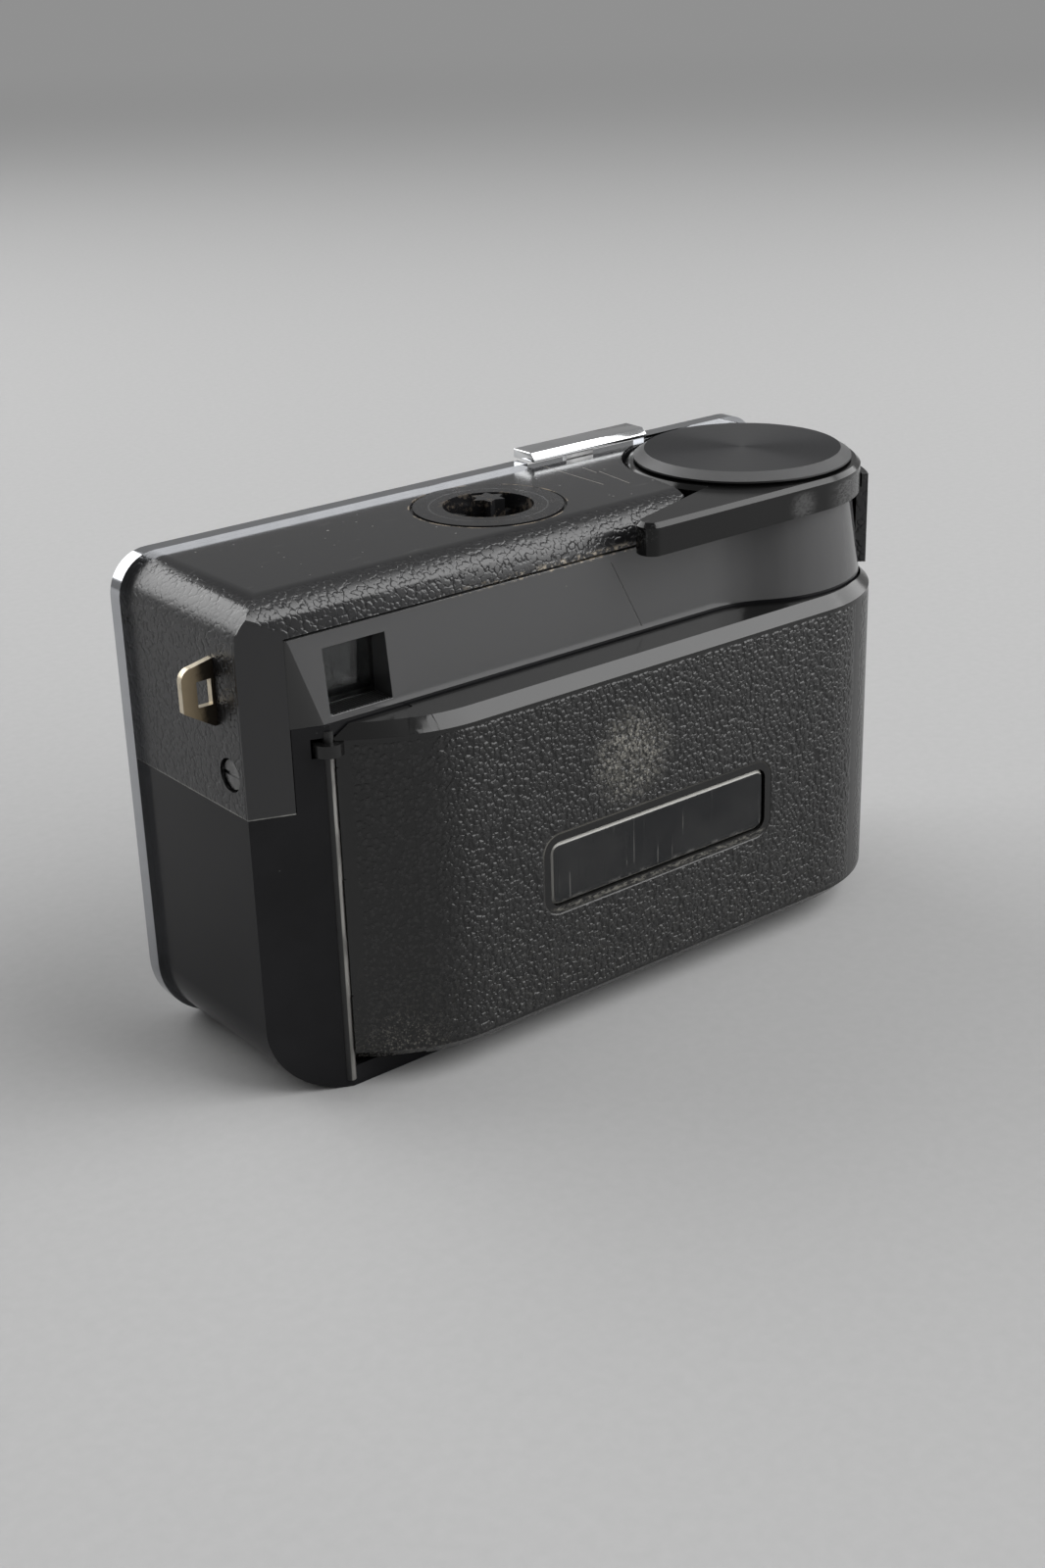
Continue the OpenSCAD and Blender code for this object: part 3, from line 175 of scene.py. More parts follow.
def lineMask(tree, first, second, start, end, width):
    # 1 on the stretch from start to end, 0 away from it
    length = math.dist(start, end)
    dx, dy = (end[0] - start[0]) / length, (end[1] - start[1]) / length
    a = minus(tree, first, start[0])
    b = minus(tree, second, start[1])
    along = plus(tree, times(tree, a, dx), times(tree, b, dy))
    across = calc(tree, "ABSOLUTE", minus(tree, times(tree, a, dy), times(tree, b, dx)))
    inside = times(tree, calc(tree, "GREATER_THAN", along, 0), calc(tree, "LESS_THAN", along, length))
    return times(tree, inside, ramp(tree, across, width * 0.5, width, 1, 0))


def specks(tree, point, scale, share, size=0.16):
    # a few small dots, and none between them
    cells = put(tree, "TexVoronoi", Vector=point, Scale=scale)
    split = put(tree, "SeparateXYZ", Vector=cells.outputs["Color"])
    chosen = calc(tree, "LESS_THAN", split.outputs[0], share)
    reach = plus(tree, times(tree, split.outputs[1], size), size * 0.3)
    return times(tree, chosen, calc(tree, "LESS_THAN", cells.outputs["Distance"], reach),
                 plus(tree, times(tree, split.outputs[2], 0.7), 0.3))


def bump(tree, shader, height, depth):
    node = put(tree, "Bump", Height=height, Distance=depth * mm, Strength=1.0)
    tree.links.new(node.outputs[0], shader.inputs["Normal"])


# Finishes

def bodyFinish():
    # polished moulding with a few dust specks and faint waves
    v = dict(darker=(0.004, 0.004, 0.004), paler=(0.016, 0.016, 0.018), rough=0.17, dust=0.05,
             wave=0.004, gloss=0.18, speckColour=(0.3, 0.3, 0.29))
    finish, tree, shader = startFinish("bodyBlack", v["gloss"])
    point = pointInMm(tree)[0]
    cloudy = noise(tree, point, 0.12, 4)
    fine = noise(tree, stretched(tree, point, 3.0, 0.5, 3.0), 2.0, 3)
    shade = ramp(tree, cloudy, 0.3, 0.75, 0.8, 1.25)
    base = blendColour(tree, times(tree, shade, 0.5), v["darker"], v["paler"])
    coarse = specks(tree, point, 0.35, v["dust"], 0.04)
    dots = largest(tree, coarse, specks(tree, point, 1.1, v["dust"] * 0.6, 0.1))
    base = blendColour(tree, times(tree, dots, 0.5), base, v["speckColour"])
    tree.links.new(base, shader.inputs["Base Color"])
    spread = ramp(tree, cloudy, 0.35, 0.7, v["rough"] * 0.8, v["rough"] * 1.25)
    tree.links.new(plus(tree, spread, times(tree, fine, 0.04)), shader.inputs["Roughness"])
    bump(tree, shader, plus(tree, cloudy, times(tree, fine, 0.12)), v["wave"])
    return finish


def leatherHeight(tree, point, size, full=1.0):
    # rounded pebbles with creases between them: 0 in a crease and 1 on a pebble
    # full is over 1 where the pebbles have flat tops
    drift = put(tree, "TexNoise", Vector=point, Scale=0.8 / size, Detail=1.0)
    shift = tree.nodes.new("ShaderNodeVectorMath")
    shift.operation = "MULTIPLY_ADD"
    tree.links.new(drift.outputs["Color"], shift.inputs[0])
    shift.inputs[1].default_value = (0.8 * size,) * 3
    tree.links.new(point, shift.inputs[2])
    cells = put(tree, "TexVoronoi", Vector=shift.outputs[0], Scale=0.95 / size)
    away = times(tree, cells.outputs["Distance"], 1.25)
    pebble = minus(tree, 1, times(tree, away, away))
    return calc(tree, "MULTIPLY", pebble, full, clamp=True)


def roundedDistance(tree, x, z, middle, half, corner):
    # how far a point is outside a rounded rectangle
    fromX = calc(tree, "ABSOLUTE", minus(tree, x, middle[0]))
    fromZ = calc(tree, "ABSOLUTE", minus(tree, z, middle[1]))
    dx = minus(tree, fromX, half[0] - corner)
    dz = minus(tree, fromZ, half[1] - corner)
    px = calc(tree, "MAXIMUM", dx, 0)
    pz = calc(tree, "MAXIMUM", dz, 0)
    away = calc(tree, "SQRT", plus(tree, times(tree, px, px), times(tree, pz, pz)))
    within = calc(tree, "MINIMUM", calc(tree, "MAXIMUM", dx, dz), 0)
    return minus(tree, plus(tree, away, within), corner)


def jointCrumbs(tree, point):
    return ramp(tree, noise(tree, stretched(tree, point, 1.2, 1.2, 1.9), 1.0, 4, 0.7), 0.5, 0.6)


def alongJoint(tree, x):
    # the stretch of the joint between cover and panel that holds dust
    return times(tree, ramp(tree, x, -22, -17), ramp(tree, x, 2, 30, 1, 0))


def coverFinish():
    # glossy on top, with leather grain round its edges and down its sides
    v = dict(colour=(0.007, 0.007, 0.008), grain=0.66, flatTops=1.6, grainDepth=0.08, topRough=0.12,
             grainRough=0.3, gloss=0.7, speckColour=(0.4, 0.4, 0.38), ringDust=(0.33, 0.27, 0.2))
    finish, tree, shader = startFinish("coverBlack", v["gloss"])
    point, x, y, z = pointInMm(tree)
    height = leatherHeight(tree, point, v["grain"], v["flatTops"])
    onTop = times(tree, ramp(tree, z, 65.45, 65.9), ramp(tree, y, 6.0, 8.2, 1, 0))
    # the slanted strip beside the hinge is smooth up to a sloping line
    slant = plus(tree, y, times(tree, x, slantRise))
    below = minus(tree, z, times(tree, minus(tree, x, 45.5), 0.36))
    onStrip = times(tree, ramp(tree, slant, 29.1, 29.4), ramp(tree, below, 61.0, 61.5, 1, 0))
    grained = times(tree, minus(tree, 1, onTop), minus(tree, 1, onStrip))
    # the grain runs out over the rounded edge beside the rim
    flatter = times(tree, ramp(tree, x, 50, 53), ramp(tree, z, 60, 62.5))
    share = minus(tree, 0.97, times(tree, flatter, 0.7))
    faint = plus(tree, times(tree, grained, share), 0.03)
    dots = largest(tree, specks(tree, point, 0.4, 0.2, 0.07), specks(tree, point, 1.2, 0.08))
    base = blendColour(tree, times(tree, dots, onTop, 0.8), v["colour"], v["speckColour"])
    hairs = ramp(tree, noise(tree, stretched(tree, point, 0.35, 3.2, 1), 0.5, 1), 0.71, 0.74)
    base = blendColour(tree, times(tree, hairs, onTop, 0.12), base, (0.3, 0.3, 0.29))
    # dust in the joint above the finder panel
    level = times(tree, ramp(tree, z, 61.0, 61.1), ramp(tree, z, 61.6, 62.2, 1, 0))
    joint = times(tree, level, ramp(tree, y, 9.6, 10.3), alongJoint(tree, x))
    base = blendColour(tree, times(tree, jointCrumbs(tree, point), joint), base, dustColour)
    # a line of brownish dust round the socket
    ring = distanceToAxis(tree, x, y, *socketAt)
    line = times(tree, ramp(tree, ring, 10.45, 10.55), ramp(tree, ring, 10.6, 10.8, 1, 0), onTop)
    patchy = ramp(tree, noise(tree, point, 0.4, 3), 0.42, 0.6)
    base = blendColour(tree, times(tree, line, patchy, 0.9), base, v["ringDust"])
    # painted highlight: a pale line is painted along the lower edge where it meets the body
    uneven = ramp(tree, noise(tree, point, 0.25, 3), 0.3, 0.55)
    paintedEdgeHighlight = times(tree, ramp(tree, z, 39.06, 39.22, 1, 0), uneven)
    base = blendColour(tree, times(tree, paintedEdgeHighlight, 0.75), base, (0.3, 0.3, 0.28))
    tree.links.new(base, shader.inputs["Base Color"])
    rough = plus(tree, times(tree, grained, v["grainRough"] - v["topRough"]), v["topRough"])
    rough = plus(tree, rough, times(tree, noise(tree, point, 0.2, 3), 0.06))
    tree.links.new(rough, shader.inputs["Roughness"])
    bump(tree, shader, times(tree, height, faint), v["grainDepth"])
    return finish


def doorFinish():
    # leather grain with smooth margins, a rubbed patch and dust in its corners
    v = dict(colour=(0.006, 0.006, 0.006), peak=(0.016, 0.016, 0.016), grain=0.62, grainDepth=0.15,
             rough=0.2, smoothRough=0.16, gloss=0.5, dust=(0.24, 0.23, 0.2), patch=(2.0, 19.35, 36.4),
             half=(19.3, 4.6), corner=1.6)
    finish, tree, shader = startFinish("doorBlack", v["gloss"])
    point, x, y, z = pointInMm(tree)
    height = leatherHeight(tree, point, v["grain"])
    toWindow = roundedDistance(tree, x, z, windowAt, v["half"], v["corner"])
    # the inner face is smooth
    level = times(tree, ramp(tree, x, 26, 28, 1, 0), ramp(tree, x, -44, -42))
    inner = times(tree, ramp(tree, y, 18.3, 18.7, 1, 0), level)
    outer = minus(tree, 1, inner)
    grained = times(tree, ramp(tree, toWindow, 1.1, 1.3), ramp(tree, z, 47.0, 47.6, 1, 0),
                    ramp(tree, z, 4.9, 5.4), ramp(tree, x, 42.0, 42.6, 1, 0), outer)
    peaks = ramp(tree, height, 0.6, 0.95)
    fine = noise(tree, point, 2.2, 4, 0.65)
    cloudy = ramp(tree, noise(tree, point, 0.28, 3), 0.3, 0.6, 0.62, 1)
    worn = times(tree, cloudy, ramp(tree, fine, 0.4, 0.6))
    spot = ramp(tree, distanceTo(tree, point, *v["patch"]), 2.5, 8.2, 1, 0)
    rubbed = times(tree, spot, worn, plus(tree, times(tree, peaks, 0.6), 0.3), outer, 1.2)
    # dust at the foot beside the hinge, at the far end and along the foot, and a painted highlight on
    # the step round the window, brightest along its top and towards the right
    low = ramp(tree, distanceTo(tree, point, 38.5, 16.5, 4.0), 1.0, 9.0, 1, 0)
    left = times(tree, low, ramp(tree, noise(tree, point, 2.6, 4, 0.7), 0.52, 0.64), 0.55)
    tall = stretched(tree, point, 1, 1, 0.5)
    end = ramp(tree, distanceTo(tree, tall, -52.0, 9.0, 5.4), 1.5, 7.0, 1, 0)
    right = times(tree, end, ramp(tree, noise(tree, point, 1.6, 4, 0.7), 0.45, 0.66), 0.75)
    under = times(tree, ramp(tree, z, 4.4, 5.0, 1, 0), ramp(tree, fine, 0.5, 0.62), 0.3)
    film = times(tree, ramp(tree, z, 10, 24, 1, 0), ramp(tree, fine, 0.48, 0.66), 0.06)
    rim = times(tree, ramp(tree, toWindow, 1.0, 1.1), ramp(tree, toWindow, 1.2, 1.32, 1, 0))
    paintedRimHighlight = times(tree, rim, ramp(tree, z, 25, 28.5, 0.1, 1), ramp(tree, x, -14, 4, 0.35, 1), 0.5)
    crumb = ramp(tree, noise(tree, stretched(tree, point, 0.6, 1, 1.6), 1.5, 4, 0.7), 0.44, 0.6)
    sill = times(tree, ramp(tree, toWindow, 0.0, 0.2), ramp(tree, toWindow, 0.5, 1.2, 1, 0),
                 ramp(tree, z, 18.3, 18.8, 1, 0), crumb, 0.5)
    dustAndHighlight = largest(tree, rubbed, left, right, under, film, sill, paintedRimHighlight)
    lifted = blendColour(tree, times(tree, peaks, grained), v["colour"], v["peak"])
    # the dust colour here also paints the highlight round the window
    base = blendColour(tree, dustAndHighlight, lifted, v["dust"])
    tree.links.new(base, shader.inputs["Base Color"])
    rough = plus(tree, times(tree, grained, v["rough"] - v["smoothRough"]), v["smoothRough"])
    rough = plus(tree, rough, times(tree, dustAndHighlight, 0.3))
    rough = plus(tree, rough, times(tree, noise(tree, point, 0.15, 3), 0.08))
    tree.links.new(rough, shader.inputs["Roughness"])
    # the window's flat border is lower, and the grain is fainter towards the hinge
    step = ramp(tree, toWindow, 1.05, 1.3, 0, 0.9)
    fade = ramp(tree, x, 29, 36, 1, 0.45)
    bump(tree, shader, plus(tree, times(tree, height, grained, fade), step), v["grainDepth"])
    return finish


def panelFinish():
    # polished, with a painted reflection on its long face, a hairline crack and dust in its upper joint
    v = dict(colour=(0.055, 0.055, 0.056), facet=(0.004, 0.004, 0.004), rough=0.07, gloss=0.7,
             crackTop=(-2.0, 60.0), crackFoot=(-6.25, 50.5), crackWidth=0.1)
    finish, tree, shader = startFinish("panelBlack", v["gloss"])
    point, x, y, z = pointInMm(tree)
    # painted reflection: the long face is painted paler than the slanted end, which keeps the plain
    # black
    slant = plus(tree, y, times(tree, x, slantRise))
    face = blendColour(tree, ramp(tree, slant, 29.45, 29.52), v["colour"], v["facet"])
    streaks = noise(tree, stretched(tree, point, 0.3, 0.3, 2.5), 1.0, 3)
    crack = lineMask(tree, x, z, v["crackTop"], v["crackFoot"], v["crackWidth"])
    dots = specks(tree, point, 0.35, 0.06, 0.035)
    base = blendColour(tree, times(tree, dots, 0.25), face, (0.3, 0.3, 0.28))
    base = blendColour(tree, times(tree, crack, 0.8), base, v["facet"])
    joint = times(tree, ramp(tree, z, 60.8, 61.0), alongJoint(tree, x))
    base = blendColour(tree, times(tree, jointCrumbs(tree, point), joint), base, dustColour)
    tree.links.new(base, shader.inputs["Base Color"])
    spread = plus(tree, times(tree, streaks, 0.07), v["rough"])
    tree.links.new(plus(tree, spread, times(tree, joint, 0.2)), shader.inputs["Roughness"])
    wavy = minus(tree, times(tree, noise(tree, point, 0.06, 2), 0.5), times(tree, crack, 1.2))
    bump(tree, shader, wavy, 0.03)
    return finish


def leverFinish():
    # glossy, rubbed dull at the thumb's places and scuffed at its tip
    v = dict(colour=(0.004, 0.004, 0.004), rubbed=(0.12, 0.12, 0.12), gloss=0.35,
             thumb=(-31.6, 16.2, 63.0), beside=(-42.0, 15.6, 63.0), tip=(-3.4, 14.7, 65.4))
    finish, tree, shader = startFinish("leverBlack", v["gloss"])
    point, _, _, z = pointInMm(tree)
    lowSide = ramp(tree, z, 64.4, 65.1, 1, 0)
    fine = noise(tree, stretched(tree, point, 1.0, 1.0, 2.0), 1.6, 4, 0.65)
    first = times(tree, ramp(tree, distanceTo(tree, point, *v["thumb"]), 0.6, 3.2, 1, 0),
                  ramp(tree, fine, 0.3, 0.6, 0.3, 1))
    second = times(tree, ramp(tree, distanceTo(tree, point, *v["beside"]), 1.4, 6.5, 1, 0),
                   ramp(tree, fine, 0.34, 0.62, 0.1, 1))
    worn = times(tree, largest(tree, first, second), lowSide, 0.5)
    tip = times(tree, ramp(tree, distanceTo(tree, point, *v["tip"]), 1.6, 3.2, 1, 0),
                ramp(tree, noise(tree, point, 2.2, 3), 0.52, 0.66), 0.3)
    base = blendColour(tree, largest(tree, worn, tip), v["colour"], v["rubbed"])
    tree.links.new(base, shader.inputs["Base Color"])
    spread = plus(tree, times(tree, noise(tree, point, 0.3, 3), 0.1), 0.1)
    tree.links.new(plus(tree, spread, times(tree, worn, 0.5)), shader.inputs["Roughness"])
    bump(tree, shader, noise(tree, point, 0.2, 3), 0.02)
    return finish


def discFinish():
    # turned metal, with its sheen along the UV map's rounds
    v = dict(colour=(0.05, 0.051, 0.054), bevelColour=(0.13, 0.13, 0.13), bevelFrom=13.8,
             rough=0.27, spun=0.8)
    finish, tree, shader = startFinish("discSpun")
    point, x, y, _ = pointInMm(tree)
    radius = distanceToAxis(tree, x, y, *hubAt)
    uneven = noise(tree, put(tree, "CombineXYZ", X=radius).outputs[0], 2.2, 4)
    onBevel = ramp(tree, radius, v["bevelFrom"], v["bevelFrom"] + 0.1)
    shade = plus(tree, times(tree, uneven, 0.5), 0.2)
    base = blendColour(tree, shade, scaled(v["colour"], 0.5), scaled(v["colour"], 1.5))
    base = blendColour(tree, times(tree, onBevel, 0.7), base, v["bevelColour"])
    dots = times(tree, specks(tree, point, 0.5, 0.1, 0.06), 0.4)
    tree.links.new(blendColour(tree, dots, base, (0.5, 0.5, 0.5)), shader.inputs["Base Color"])
    shader.inputs["Metallic"].default_value = 0.8
    shader.inputs["Anisotropic"].default_value = v["spun"]
    around = put(tree, "Tangent", {"direction_type": "UV_MAP"})
    tree.links.new(around.outputs[0], shader.inputs["Tangent"])
    tree.links.new(plus(tree, times(tree, uneven, 0.12), v["rough"]), shader.inputs["Roughness"])
    return finish


def metal(name, colour, rough, pits=0.3, brushed=(1, 1, 1), metallic=1.0, tarnish=None):
    # plain metal, cloudy with tarnish; brushed stretches its fine marks
    finish, tree, shader = startFinish(name)
    point = pointInMm(tree)[0]
    cloudy = noise(tree, point, 0.35, 4)
    fine = noise(tree, stretched(tree, point, *brushed), 3.0, 3)
    dull = tarnish or scaled(colour, 0.72)
    base = blendColour(tree, ramp(tree, cloudy, 0.35, 0.75), colour, dull)
    tree.links.new(base, shader.inputs["Base Color"])
    shader.inputs["Metallic"].default_value = metallic
    spread = ramp(tree, cloudy, 0.4, 0.7, rough * 0.8, rough * 1.4)
    tree.links.new(plus(tree, spread, times(tree, fine, 0.08)), shader.inputs["Roughness"])
    bump(tree, shader, plus(tree, fine, times(tree, cloudy, 0.5)), 0.01 * pits)
    return finish


def plateFinish():
    # even, finely brushed from side to side
    finish, tree, shader = startFinish("plateMetal")
    point = pointInMm(tree)[0]
    strokes = noise(tree, stretched(tree, point, 0.03, 1, 4), 3.0, 4, 0.6)
    cloudy = noise(tree, point, 0.03, 3)
    base = blendColour(tree, strokes, (0.52, 0.525, 0.53), (0.64, 0.645, 0.65))
    tree.links.new(base, shader.inputs["Base Color"])
    shader.inputs["Metallic"].default_value = 1.0
    spread = plus(tree, ramp(tree, cloudy, 0.3, 0.7, 0.28, 0.34), times(tree, strokes, 0.08))
    tree.links.new(spread, shader.inputs["Roughness"])
    bump(tree, shader, strokes, 0.004)
    return finish


def moulded(name, colour, rough):
    # plain matt or satin moulding with a fine texture
    finish, tree, shader = startFinish(name)
    point = pointInMm(tree)[0]
    fine = noise(tree, point, 3.5, 3)
    cloudy = noise(tree, point, 0.2, 3)
    base = blendColour(tree, cloudy, scaled(colour, 0.8), scaled(colour, 1.2))
    tree.links.new(base, shader.inputs["Base Color"])
    tree.links.new(ramp(tree, cloudy, 0.3, 0.7, rough * 0.9, rough * 1.1), shader.inputs["Roughness"])
    bump(tree, shader, fine, 0.02)
    return finish


def clearFinish(name, tint):
    # clear, with a few fine upright marks
    finish, tree, shader = startFinish(name)
    point = pointInMm(tree)[0]
    lines = noise(tree, stretched(tree, point, 4.0, 1.0, 0.12), 1.4, 4)
    shader.inputs["Base Color"].default_value = (*tint, 1)
    shader.inputs["Transmission Weight"].default_value = 1.0
    shader.inputs["IOR"].default_value = refraction
    shader.inputs["Roughness"].default_value = 0.03
    bump(tree, shader, times(tree, ramp(tree, lines, 0.6, 0.72), -1), 0.01)
    return finish


def windowFinish():
    # clear moulding, smoky, with a painted highlight along its edge, rub marks and dust along its foot
    v = dict(half=(19.2, 4.5), corner=1.5, smoke=(0.006, 0.007, 0.009), markAndHighlight=(0.6, 0.59, 0.55),
             gloss=0.45)
    finish, tree, shader = startFinish("windowClear", v["gloss"])
    point, x, _, z = pointInMm(tree)
    inside = roundedDistance(tree, x, z, windowAt, v["half"], v["corner"])
    # painted highlight on the pane's bevelled edge, brightest at the top, then on the right and along
    # the foot
    lit = largest(tree, ramp(tree, z, 26.5, 27.3), times(tree, ramp(tree, x, 15.0, 15.8), 0.6),
                  times(tree, ramp(tree, z, 19.2, 19.6, 1, 0), 0.45))
    edge = times(tree, ramp(tree, inside, -0.5, -0.4), lit)
    upright = noise(tree, stretched(tree, point, 2.4, 1.0, 0.07), 1.0, 4)
    patches = ramp(tree, noise(tree, point, 0.16, 2), 0.4, 0.62)
    lines = times(tree, ramp(tree, upright, 0.57, 0.72), patches)
    film = ramp(tree, noise(tree, point, 0.12, 3), 0.35, 0.7)
    crumbs = ramp(tree, noise(tree, point, 0.5, 3, 0.6), 0.45, 0.65)
    foot = times(tree, ramp(tree, z, 19.1, 20.0, 1, 0), crumbs)
    marksAndHighlight = largest(tree, times(tree, edge, 0.8), times(tree, lines, 0.14), times(tree, foot, 0.2),
                    times(tree, film, 0.03))
    base = blendColour(tree, marksAndHighlight, v["smoke"], v["markAndHighlight"])
    tree.links.new(base, shader.inputs["Base Color"])
    clear = calc(tree, "SUBTRACT", 0.45, times(tree, marksAndHighlight, 2), clamp=True)
    tree.links.new(clear, shader.inputs["Transmission Weight"])
    shader.inputs["IOR"].default_value = refraction
    tree.links.new(plus(tree, times(tree, marksAndHighlight, 0.5), 0.06), shader.inputs["Roughness"])
    bump(tree, shader, times(tree, lines, -1), 0.006)
    return finish


def pinFinish():
    # steel along the strip that shows; painted shade darkens the rest of the pin and the part above it
    v = dict(colour=(0.42, 0.41, 0.39), paintedShade=(0.012, 0.012, 0.012), topZ=45.9, darkFrom=44.28)
    finish, tree, shader = startFinish("pinSteel")
    point, x, _, z = pointInMm(tree)
    # painted shade over the top of the pin and over its side away from the strip
    above = ramp(tree, z, v["topZ"] - 0.2, v["topZ"])
    paintedShade = largest(tree, above, ramp(tree, x, v["darkFrom"], v["darkFrom"] + 0.14))
    cloudy = noise(tree, stretched(tree, point, 1, 1, 0.2), 0.8, 4)
    steel = blendColour(tree, ramp(tree, cloudy, 0.35, 0.7), v["colour"], scaled(v["colour"], 0.45))
    tree.links.new(blendColour(tree, paintedShade, steel, v["paintedShade"]), shader.inputs["Base Color"])
    tree.links.new(minus(tree, 0.85, paintedShade), shader.inputs["Metallic"])
    tree.links.new(plus(tree, times(tree, cloudy, 0.2), 0.28), shader.inputs["Roughness"])
    bump(tree, shader, cloudy, 0.01)
    return finish


def lugFinish():
    # old brass: the narrow edges are painted pale as a painted highlight, and the face is painted dark
    # brown, partly tarnish and partly painted shade, with patchy dirt at its root
    v = dict(paintedLitEdge=(0.7, 0.62, 0.48), face=(0.24, 0.19, 0.12), dirt=(0.035, 0.027, 0.018),
             backY=3.3, rootX=54.0)
    finish, tree, shader = startFinish("lugBrass")
    point, x, y, _ = pointInMm(tree)
    cloudy = noise(tree, point, 0.6, 4, 0.6)
    onFace = ramp(tree, y, v["backY"] - 0.1, v["backY"] - 0.02)
    atRoot = ramp(tree, x, v["rootX"], v["rootX"] + 3.2, 1, 0)
    near = plus(tree, atRoot, minus(tree, cloudy, 0.5))
    # painted shade on the face, partly tarnish, darkest with dirt at the root
    face = blendColour(tree, ramp(tree, near, 0.15, 0.7), v["face"], v["dirt"])
    # painted highlight: the narrow edges are pale brass
    edge = blendColour(tree, ramp(tree, cloudy, 0.45, 0.75), v["paintedLitEdge"], scaled(v["paintedLitEdge"], 0.55))
    tree.links.new(blendColour(tree, onFace, edge, face), shader.inputs["Base Color"])
    shader.inputs["Metallic"].default_value = 0.6
    tree.links.new(ramp(tree, cloudy, 0.3, 0.7, 0.3, 0.5), shader.inputs["Roughness"])
    bump(tree, shader, cloudy, 0.03)
    return finish


def ringFinish():
    # the socket's ring, with a fine step line round its mouth
    v = dict(colour=(0.011, 0.011, 0.012), dust=(0.24, 0.19, 0.14), worn=(0.12, 0.12, 0.12), step=7.8,
             gloss=0.4)
    finish, tree, shader = startFinish("socketBlack", v["gloss"])
    point, x, y, z = pointInMm(tree)
    ring = distanceToAxis(tree, x, y, *socketAt)
    line = times(tree, ramp(tree, ring, v["step"], v["step"] + 0.1),
                 ramp(tree, ring, v["step"] + 0.18, v["step"] + 0.28, 1, 0), ramp(tree, z, 65.5, 65.8))
    crumbs = ramp(tree, noise(tree, point, 0.7, 4, 0.7), 0.52, 0.66)
    dust = times(tree, crumbs, ramp(tree, ring, 6.0, 7.0, 1, 0.12))
    base = blendColour(tree, times(tree, dust, 0.35), v["colour"], v["dust"])
    base = blendColour(tree, times(tree, line, 0.4), base, v["worn"])
    tree.links.new(base, shader.inputs["Base Color"])
    tree.links.new(plus(tree, times(tree, dust, 0.3), 0.24), shader.inputs["Roughness"])
    bump(tree, shader, minus(tree, noise(tree, point, 0.6, 3), line), 0.02)
    return finish


print("finishes")
finishes = {
    "body_black": bodyFinish(),
    "frame_black": moulded("frameBlack", (0.02, 0.02, 0.021), 0.6),
    "tunnel_black": moulded("tunnelBlack", (0.012, 0.012, 0.012), 0.8),
    "cover_black": coverFinish(),
    "panel_black": panelFinish(),
    "mount_black": moulded("mountBlack", (0.02, 0.02, 0.021), 0.38),
    "ring_black": moulded("ringBlack", (0.028, 0.028, 0.028), 0.42),
    "lever_black": leverFinish(),
    "socket_black": ringFinish(),
    "door_black": doorFinish(),
    "latch_black": moulded("latchBlack", (0.02, 0.02, 0.02), 0.4),
    "dog_plastic": moulded("dogPlastic", (0.35, 0.35, 0.33), 0.45),
    "gear_plastic": moulded("gearPlastic", (0.55, 0.53, 0.46), 0.42),
    "blade_black": metal("bladeBlack", (0.03, 0.03, 0.032), 0.4, metallic=0.3),
    "disc_metal": discFinish(),
    "plate_metal": plateFinish(),
    "retainer_metal": metal("retainerMetal", (0.6, 0.61, 0.62), 0.25, pits=0.1,
                            tarnish=(0.57, 0.58, 0.59)),
    "rim_chrome": metal("rimChrome", (0.45, 0.46, 0.48), 0.07, pits=0.1, tarnish=(0.42, 0.43, 0.45)),
    "bar_chrome": metal("barChrome", (0.75, 0.76, 0.77), 0.05, pits=0.08, tarnish=(0.7, 0.71, 0.72)),
    "sheet_steel": metal("sheetSteel", (0.5, 0.5, 0.5), 0.32, pits=0.5, brushed=(0.1, 1, 2)),
    "spring_steel": metal("springSteel", (0.45, 0.45, 0.45), 0.3),
    "shaft_steel": metal("shaftSteel", (0.6, 0.6, 0.59), 0.25),
    "screw_steel": metal("screwSteel", (0.2, 0.2, 0.2), 0.28),
    "bush_brass": metal("bushBrass", (0.62, 0.47, 0.25), 0.28),
    "lug_brass": lugFinish(),
    "finder_glass": clearFinish("finderGlass", (0.8, 0.84, 0.85)),
    "lens_glass": clearFinish("lensGlass", (0.75, 0.8, 0.86)),
    "window_clear": windowFinish(),
}

slotOf = {row["node"]: row["material_slot"] for row in frame["record"]["subparts"]}
bodyOf = {node: body for body, held in frame["record"]["behaviour"]["bodies"].items() for node in held}
for nodeName, solid in nodes.items():
    solid.data.materials.clear()
    solid.data.materials.append(pinFinish() if nodeName == "hinge_pin" else finishes[slotOf[nodeName]])


# Pieces

def addPiece(name, mesh, body, slot, finish=None):
    piece = bpy.data.objects.new(name, mesh)
    bpy.context.scene.collection.objects.link(piece)
    mesh.materials.clear()
    mesh.materials.append(finish or finishes[slot])
    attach(piece, body)
    return piece


def meshFrom(shape, name, smoothBelow=30):
    # closes the bmesh; edges sharper than the angle stay sharp
    for face in shape.faces:
        face.smooth = True
    for edge in shape.edges:
        edge.smooth = edge.calc_face_angle(0.0) < math.radians(smoothBelow)
    mesh = bpy.data.meshes.new(name)
    shape.to_mesh(mesh)
    shape.free()
    return mesh


def middleOf(edge):
    return (edge.verts[0].co + edge.verts[1].co) / 2 / mm


def degreesAt(edge):
    return math.degrees(edge.calc_face_angle(0.0))


def roundEdges(shape, edges, radius, segments):
    bmesh.ops.bevel(shape, geom=edges, offset=radius * mm, offset_type="OFFSET", affect="EDGES",
                    segments=segments, profile=0.5, material=-1, clamp_overlap=True)


